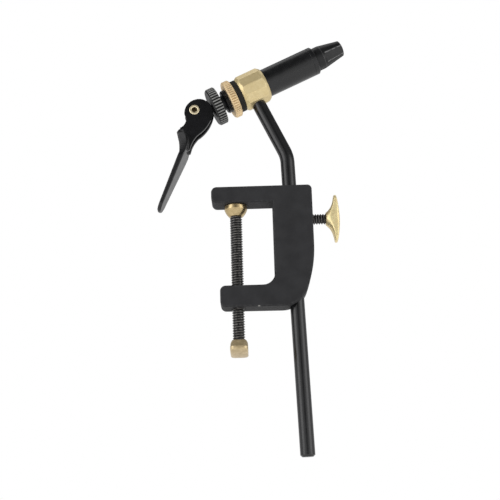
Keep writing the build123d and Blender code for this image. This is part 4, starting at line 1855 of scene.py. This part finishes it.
@dataclass
class CamDrive:
    """The adjuster, the cam lever on its drilled pin, and what they draw."""

    head: Stand
    adjuster_thickness: float = 5.6
    adjuster_chamfers: Point = (0.9, 0.5)
    adjuster_rounds: Point = (0.25, 0.15)
    adjuster_rows: float = 0.7
    neck_radius: float = 4.6
    neck_round: float = 0.2
    rod_bore: float = 2.26
    bore_round: float = 0.1
    adjuster_teeth: int = 40
    lever_length: float = 68.0
    lever_droop: float = 226.2
    cam_reach: float = 10.4
    cam_lift: float = 3.1
    cam_swing: float = 60.0
    cam_overswing: float = 15.0
    cam_base: float = 6.8
    cam_steps: int = 24
    crown_steps: int = 18
    fork_half: float = 4.5
    slot_half: float = 2.5
    paddle_half: float = 10.2
    pin_radius: float = 3.2
    pin_clearance: float = 0.02
    pin_bore: float = 1.55
    pin_bore_depth: float = 3.0
    pin_round: float = 0.75
    pin_steps: int = 8
    bore_shade_margin: float = 0.1
    voxel: float = 0.30
    melt: int = 4
    melt_share: float = 0.5
    casting_bend: float = 0.22

    neck: Point = (0.132, -0.040)
    flange_top: Point = (0.200, -0.070)
    cheek_heel: Point = (0.426, 0.016)
    cheek_foot: Point = (0.372, 0.079)
    cheek_hollow: Point = (0.292, 0.080)
    cheek_turn: Point = (0.219, 0.104)
    cheek_belly: Point = (0.106, 0.160)
    cheek_steps: tuple[int, int, int] = (12, 10, 14)
    slot_end: float = 0.400
    slot_over: float = 0.250
    lip_inner: Point = (0.214, -0.026)
    lip_top: Point = (0.219, -0.066)
    lip_spur: Point = (0.255, -0.083)
    lip_hollow: Point = (0.335, -0.034)
    lip_steps: tuple[int, int] = (10, 8)
    blade_back: Point = (0.440, 0.005)
    tip_back: Point = (0.985, -0.029)
    tip_front: Point = (0.985, 0.004)
    blade_front: Point = (0.432, 0.054)
    lip_belly: Point = (0.340, 0.052)
    paddle_plan: tuple[Point, ...] = ((0.180, 0.74), (0.430, 1.0), (0.890, 0.60))
    paddle_stations: int = 60
    lip_slant: float = 2.0
    lip_run: Point = (0.42, 0.46)
    paddle_round: float = 0.5
    round_share: float = 0.8
    tip_round: float = 1.3
    tip_least: float = 0.2

    @cached_property
    def plane(self) -> Stand:
        """The lever's own plane.

        Returns:
            A stand on its pivot, along its length.
        """
        droop = radians(self.lever_droop)
        along = self.head.along * cos(droop) + self.head.up * sin(droop)
        return Stand(joint_stand("lever_swing", UP).origin, along, self.head.out.cross(along))

    @cached_property
    def pin_axis(self) -> Stand:
        """The pin's axis, across the lever."""
        return Stand(self.plane.origin, self.plane.out, self.plane.along)

    def adjuster(self) -> None:
        """Turns the knurled adjuster and its threaded neck."""
        back, end = self.head.span("adjuster")
        rim = self.head.radius("adjuster")
        face = back + self.adjuster_thickness
        (rear, fore), (rear_round, fore_round) = self.adjuster_chamfers, self.adjuster_rounds
        corners = [
            (back, self.rod_bore, self.bore_round),
            (back, rim - rear, rear_round),
            (back + rear, rim, rear_round),
            (face - fore, rim, fore_round),
            (face, rim - fore, fore_round),
            (face, self.neck_radius),
            (end, self.neck_radius, self.neck_round),
            (end, self.rod_bore, self.bore_round),
        ]
        knurl = Knurl(self.adjuster_teeth, rim)
        profile = graded(rounded(corners), self.adjuster_rows)
        piece = turned("knurled_adjuster", self.head, profile, knurl.sides, knurl)
        dress(piece, "adjuster", "black_knurl", KNURL_BLACK, "adjuster")

    def cam(self) -> list[Point]:
        """The cam's edge in the lever's own plane, from its high end over its crown to the lever's back.

        Returns:
            The edge's points in order.
        """
        droop = radians(self.lever_droop)
        rate = self.cam_lift / radians(self.cam_swing)
        edge = []
        for step in range(self.cam_steps + 1):
            swing = (self.cam_swing + self.cam_overswing) * step / self.cam_steps
            normal = radians(swing - self.cam_overswing)
            reach = self.cam_reach - rate * normal
            forward = reach * cos(normal) + rate * sin(normal)
            upward = reach * sin(normal) - rate * cos(normal)
            along = forward * cos(droop) + upward * sin(droop)
            edge.append((along, upward * cos(droop) - forward * sin(droop)))
        heading = radians(self.cam_swing) + pi / 2 - droop
        start = Vector(edge[-1])
        back = Vector((self.cam_base * cos(pi - droop), self.cam_base * sin(pi - droop)))
        side = Vector((-sin(heading), cos(heading)))
        chord = back - start
        middle = start + side * chord.length_squared / (2 * side.dot(chord))
        bulge = middle + ((start + back) / 2 - middle).normalized() * (start - middle).length
        return edge + arc_through(tuple(start), tuple(bulge), tuple(back), self.crown_steps)[1:]

    def scaled(self, *places: Point) -> list[Point]:
        """Points of the lever's outline from their shares of the lever's length."""
        return [(along * self.lever_length, up * self.lever_length) for along, up in places]

    def cheeks(self) -> Piece:
        """The lever's two cheeks, forked round the draw rod's eye.

        Returns:
            The forked cheeks.
        """
        cam = self.cam()
        neck, top, heel = self.scaled(self.neck, self.flange_top, self.cheek_heel)
        foot, hollow, turn = self.scaled(self.cheek_foot, self.cheek_hollow, self.cheek_turn)
        (belly,) = self.scaled(self.cheek_belly)
        neck_steps, hollow_steps, belly_steps = self.cheek_steps
        outline = [
            *cam,
            *arc_through(cam[-1], neck, top, neck_steps)[1:],
            heel,
            *arc_through(foot, hollow, turn, hollow_steps),
            *arc_through(turn, belly, cam[0], belly_steps)[1:-1],
        ]
        piece = slab("cam_lever", self.plane, [Mark(*corner) for corner in outline], self.fork_half)
        over = self.slot_over
        slot = self.scaled((self.slot_end, -over), (self.slot_end, over), (-over, over), (-over, -over))
        carve(piece, slab("slot", self.plane, [Mark(*corner) for corner in slot], self.slot_half))
        return piece

    def paddle(self) -> Piece:
        """The lever's lip and blade: the lip's sides slant to its back, the blade stays flat.

        Returns:
            The paddle.
        """
        back_steps, front_steps = self.lip_steps
        top, tip_back, tip_front = self.scaled(self.lip_top, self.tip_back, self.tip_front)
        back = arc_through(*self.scaled(self.lip_spur, self.lip_hollow, self.blade_back), back_steps)
        back = [top, *back, tip_back]
        front = arc_through(*self.scaled(self.lip_inner, self.lip_belly, self.blade_front), front_steps)
        front.append(tip_front)
        slant_start, slant_end = (share * self.lever_length for share in self.lip_run)
        slant = [(slant_start, self.lip_slant), (slant_end, 0.0)]
        start, end = top[0], tip_back[0]
        draft = Draft()
        rings = []
        for number in range(self.paddle_stations + 1):
            x = start + (end - start) * sin(pi / 2 * number / self.paddle_stations)
            low, high = level(back, x), level(front, x)
            past = held(1 - (end - x) / self.tip_round)
            half = (high - low) / 2 * max(self.tip_least, sqrt(1 - past**2))
            low, high = (low + high) / 2 - half, (low + high) / 2 + half
            wide = self.plan_half(x)
            narrow = wide - held(level(slant, x), 0.0, self.lip_slant)
            corners = [(low, -narrow), (high, -wide), (high, wide), (low, narrow)]
            section = rounded(corners, min(self.paddle_round, self.round_share * half))
            rings.append(draft.ring([self.plane.at(x, mark.x, mark.y) for mark in section]))
        draft.skin(rings, Ends.CAPPED)
        return draft.finish("paddle")

    def plan_half(self, x: float) -> float:
        """Half the paddle's width, with a round tip.

        Args:
            x: The distance from the pivot.

        Returns:
            Half the width there.
        """
        length, half = self.lever_length, self.paddle_half
        edge = [(share * length, width * half) for share, width in self.paddle_plan]
        tip_x, tip_half = edge[-1]
        if x <= tip_x:
            return level(edge, x)
        bulge = self.tip_back[0] * length - tip_x
        radius = (tip_half**2 + bulge**2) / (2 * bulge)
        return sqrt(max(radius**2 - (x - tip_x + radius - bulge) ** 2, self.paddle_round**2))

    def lever(self) -> None:
        """Casts cheeks and paddle in one, softens the edges, and bores the lever for its pin."""
        piece = self.cheeks()
        carve(piece, self.paddle(), Carving.JOIN)
        remesh = piece.modifiers.new("casting", "REMESH")
        remesh.mode = "VOXEL"
        remesh.voxel_size = self.voxel * MM
        soften = piece.modifiers.new("melt", "SMOOTH")
        soften.factor = self.melt_share
        soften.iterations = self.melt
        settle_modifiers(piece)
        relief_from_shape(piece, self.casting_bend)
        through = 2 * self.fork_half
        carve(piece, plug(self.pin_axis, -through, through, self.pin_radius + self.pin_clearance))
        dress(piece, "lever", "black_lever", LEVER_ENAMEL, "lever")

    def pin(self) -> None:
        """Turns the brass pin, drilled blind from both ends, with rolled rims."""
        bore, depth, soft = self.pin_bore, self.pin_bore_depth, self.pin_round
        half = [(depth, 0.0), (depth, bore), (0.0, bore, soft), (0.0, self.pin_radius, soft)]
        corners = mirrored(self.pin_axis.span("lever_pin"), half)
        marks = rounded(corners, closed=False, steps=self.pin_steps)
        # The bores are marked as roots, so the brass darkens them almost fully: painted shade inside the
        # holes.
        clean = bore + self.bore_shade_margin
        profile = [mark if mark.y > clean else mark._replace(relief=ROOT) for mark in marks]
        piece = turned("drilled_pin", self.pin_axis, profile, ends=Ends.OPEN)
        dress(piece, "lever", "pale_brass", PIN_BRASS, "lever_pin")

    def build(self) -> None:
        """Builds every piece of the drive."""
        self.adjuster()
        self.lever()
        self.pin()
        for node, finish in (("draw_rod", JAW_BLACK), ("return_spring", SPRING_WIRE)):
            paint(frame["nodes"][node], finish)
            LOG.info("%s keeps its own shape", node)


class Lamp(NamedTuple):
    """A soft box: where it stands, how wide and high it is in metres, and its power in watts."""

    name: str
    place: Triple
    size: Point
    power: float


@dataclass
class Studio:
    """The pale floor, the white surroundings, the soft boxes and the camera."""

    floor_height: float = -0.21
    floor_size: float = 12.0
    floor_colour: Colour = (0.82, 0.82, 0.82)
    floor_roughness: float = 0.9
    floor_gloss: float = 0.1
    floor_glow: float = 0.28
    floor_veil: float = 0.38
    ambient: float = 0.66
    mirror_white: float = 1.10
    mirror_dark: float = 0.27
    mirror_back: float = 0.75
    dark_strip: Point = (0.16, 0.36)
    rear: Point = (-0.3, 0.1)
    ceiling: Point = (0.05, 0.55)
    ceiling_share: float = 0.22
    elevation: float = -14.5
    roll: float = -1.68
    distance: float = 590.0
    target: Triple = (7.761, 0.0, -27.372)
    lens: float = 72.0
    lamps: tuple[Lamp, ...] = (
        Lamp("left_box", (-0.78, -0.50, 0.215), (0.6, 0.78), 2.34),
        Lamp("right_box", (0.80, -0.48, 0.14), (0.6, 0.63), 1.64),
        Lamp("top_box", (0.05, 0.15, 0.95), (0.8, 0.6), 1.0),
    )

    def surroundings(self) -> None:
        """White to the camera; bright sides, a dim ceiling and a dark camera side in reflections."""
        bench = Bench(bpy.data.worlds.new("studio"), Ground.WORLD)
        path = bench.node("ShaderNodeLightPath").outputs
        spot = bench.node("ShaderNodeTexCoord").outputs["Generated"]
        way = bench.node("ShaderNodeSeparateXYZ", {0: spot}).outputs
        aside = bench.sum_of("ABSOLUTE", way["X"], 0.0)
        front = bench.span(aside, self.dark_strip, self.mirror_dark, self.mirror_white, EASED)
        around = bench.between(bench.span(way["Y"], self.rear, ease=EASED), front, self.mirror_back)
        above = bench.span(way["Z"], self.ceiling, 1.0, self.ceiling_share, EASED)
        mirror = bench.sum_of("MULTIPLY", around, above, clamp=False)
        mirrored_ray = bench.sum_of("MAXIMUM", path["Is Glossy Ray"], path["Is Transmission Ray"])
        strength = bench.between(mirrored_ray, self.ambient, mirror)
        bench.surface(Color=WHITE, Strength=bench.between(path["Is Camera Ray"], strength, 1.0))
        bpy.context.scene.world = bench.owner

    def floor(self) -> None:
        """Lays a pale floor that is white to the camera but for the shadow on it."""
        mesh = bpy.data.meshes.new("floor")
        half = self.floor_size / 2
        corners = [(-half, -half), (half, -half), (half, half), (-half, half)]
        mesh.from_pydata([(x, y, self.floor_height) for x, y in corners], [], [(0, 1, 2, 3)])
        bench = Bench(bpy.data.materials.new("pale_floor"))
        path = bench.node("ShaderNodeLightPath").outputs
        glow = bench.sum_of("MULTIPLY", path["Is Glossy Ray"], self.floor_glow)
        veil = bench.sum_of("MULTIPLY", path["Is Camera Ray"], self.floor_veil)
        bench.surface(
            Base_Color=opaque(self.floor_colour),
            Roughness=self.floor_roughness,
            Specular_IOR_Level=self.floor_gloss,
            Emission_Color=WHITE,
            Emission_Strength=bench.sum_of("ADD", glow, veil),
        )
        mesh.materials.append(bench.owner)
        placed(bpy.data.objects.new("floor", mesh))

    def light(self) -> None:
        """Sets the soft boxes, each facing the middle of the vise."""
        middle = Vector(self.target) * MM
        for lamp in self.lamps:
            data = bpy.data.lights.new(lamp.name, "AREA")
            data.shape = "RECTANGLE"
            data.size, data.size_y = lamp.size
            data.energy = lamp.power
            box = placed(bpy.data.objects.new(lamp.name, data))
            box.location = lamp.place
            box.rotation_euler = (middle - box.location).to_track_quat("-Z", "Y").to_euler()

    def camera(self) -> None:
        """Sets the camera at the photograph's place, below the head and looking up."""
        lift, tilt = radians(self.elevation), radians(self.roll)
        back = Vector((0, -cos(lift), sin(lift)))
        upright = Vector((0, sin(lift), cos(lift)))
        right = ALONG * cos(tilt) + upright * sin(tilt)
        up = upright * cos(tilt) - ALONG * sin(tilt)
        pose = Matrix((right, up, back)).transposed().to_4x4()
        pose.translation = (Vector(self.target) + back * self.distance) * MM
        data = bpy.data.cameras.new("camera")
        data.lens = self.lens
        camera = placed(bpy.data.objects.new("camera", data))
        camera.matrix_world = pose
        bpy.context.scene.camera = camera

    def build(self) -> None:
        """Sets up the whole studio."""
        self.surroundings()
        self.floor()
        self.light()
        self.camera()
        bpy.context.scene.view_settings.view_transform = "Standard"


def stem_stand() -> Stand:
    """The straight stem's own axis, through the middle of its lowest ring of points.

    Returns:
        A stand on that axis.
    """
    slide = joint_stand("stem_height", ACROSS)
    points = [corner.co for corner in frame["nodes"]["stem"].data.vertices]
    foot = min(point.dot(slide.along) for point in points)
    ring = [point for point in points if point.dot(slide.along) < foot + RING_DEPTH]
    return Stand(sum(ring, Vector()) / len(ring), slide.along, slide.up)


def main() -> None:
    """Builds the vise piece by piece, then the studio."""
    logging.basicConfig(level=logging.INFO, format="%(name)s: %(message)s")
    head = joint_stand("head_turn", UP)
    stem = stem_stand()
    lock = joint_stand("lock_turn", UP)
    TableClamp(stem, lock).build()
    StemLock(lock).build()
    StemRod(stem, head).build()
    Head(head).build()
    Jaws(head).build()
    CamDrive(head).build()
    Studio().build()


if __name__ == "__main__":
    main()
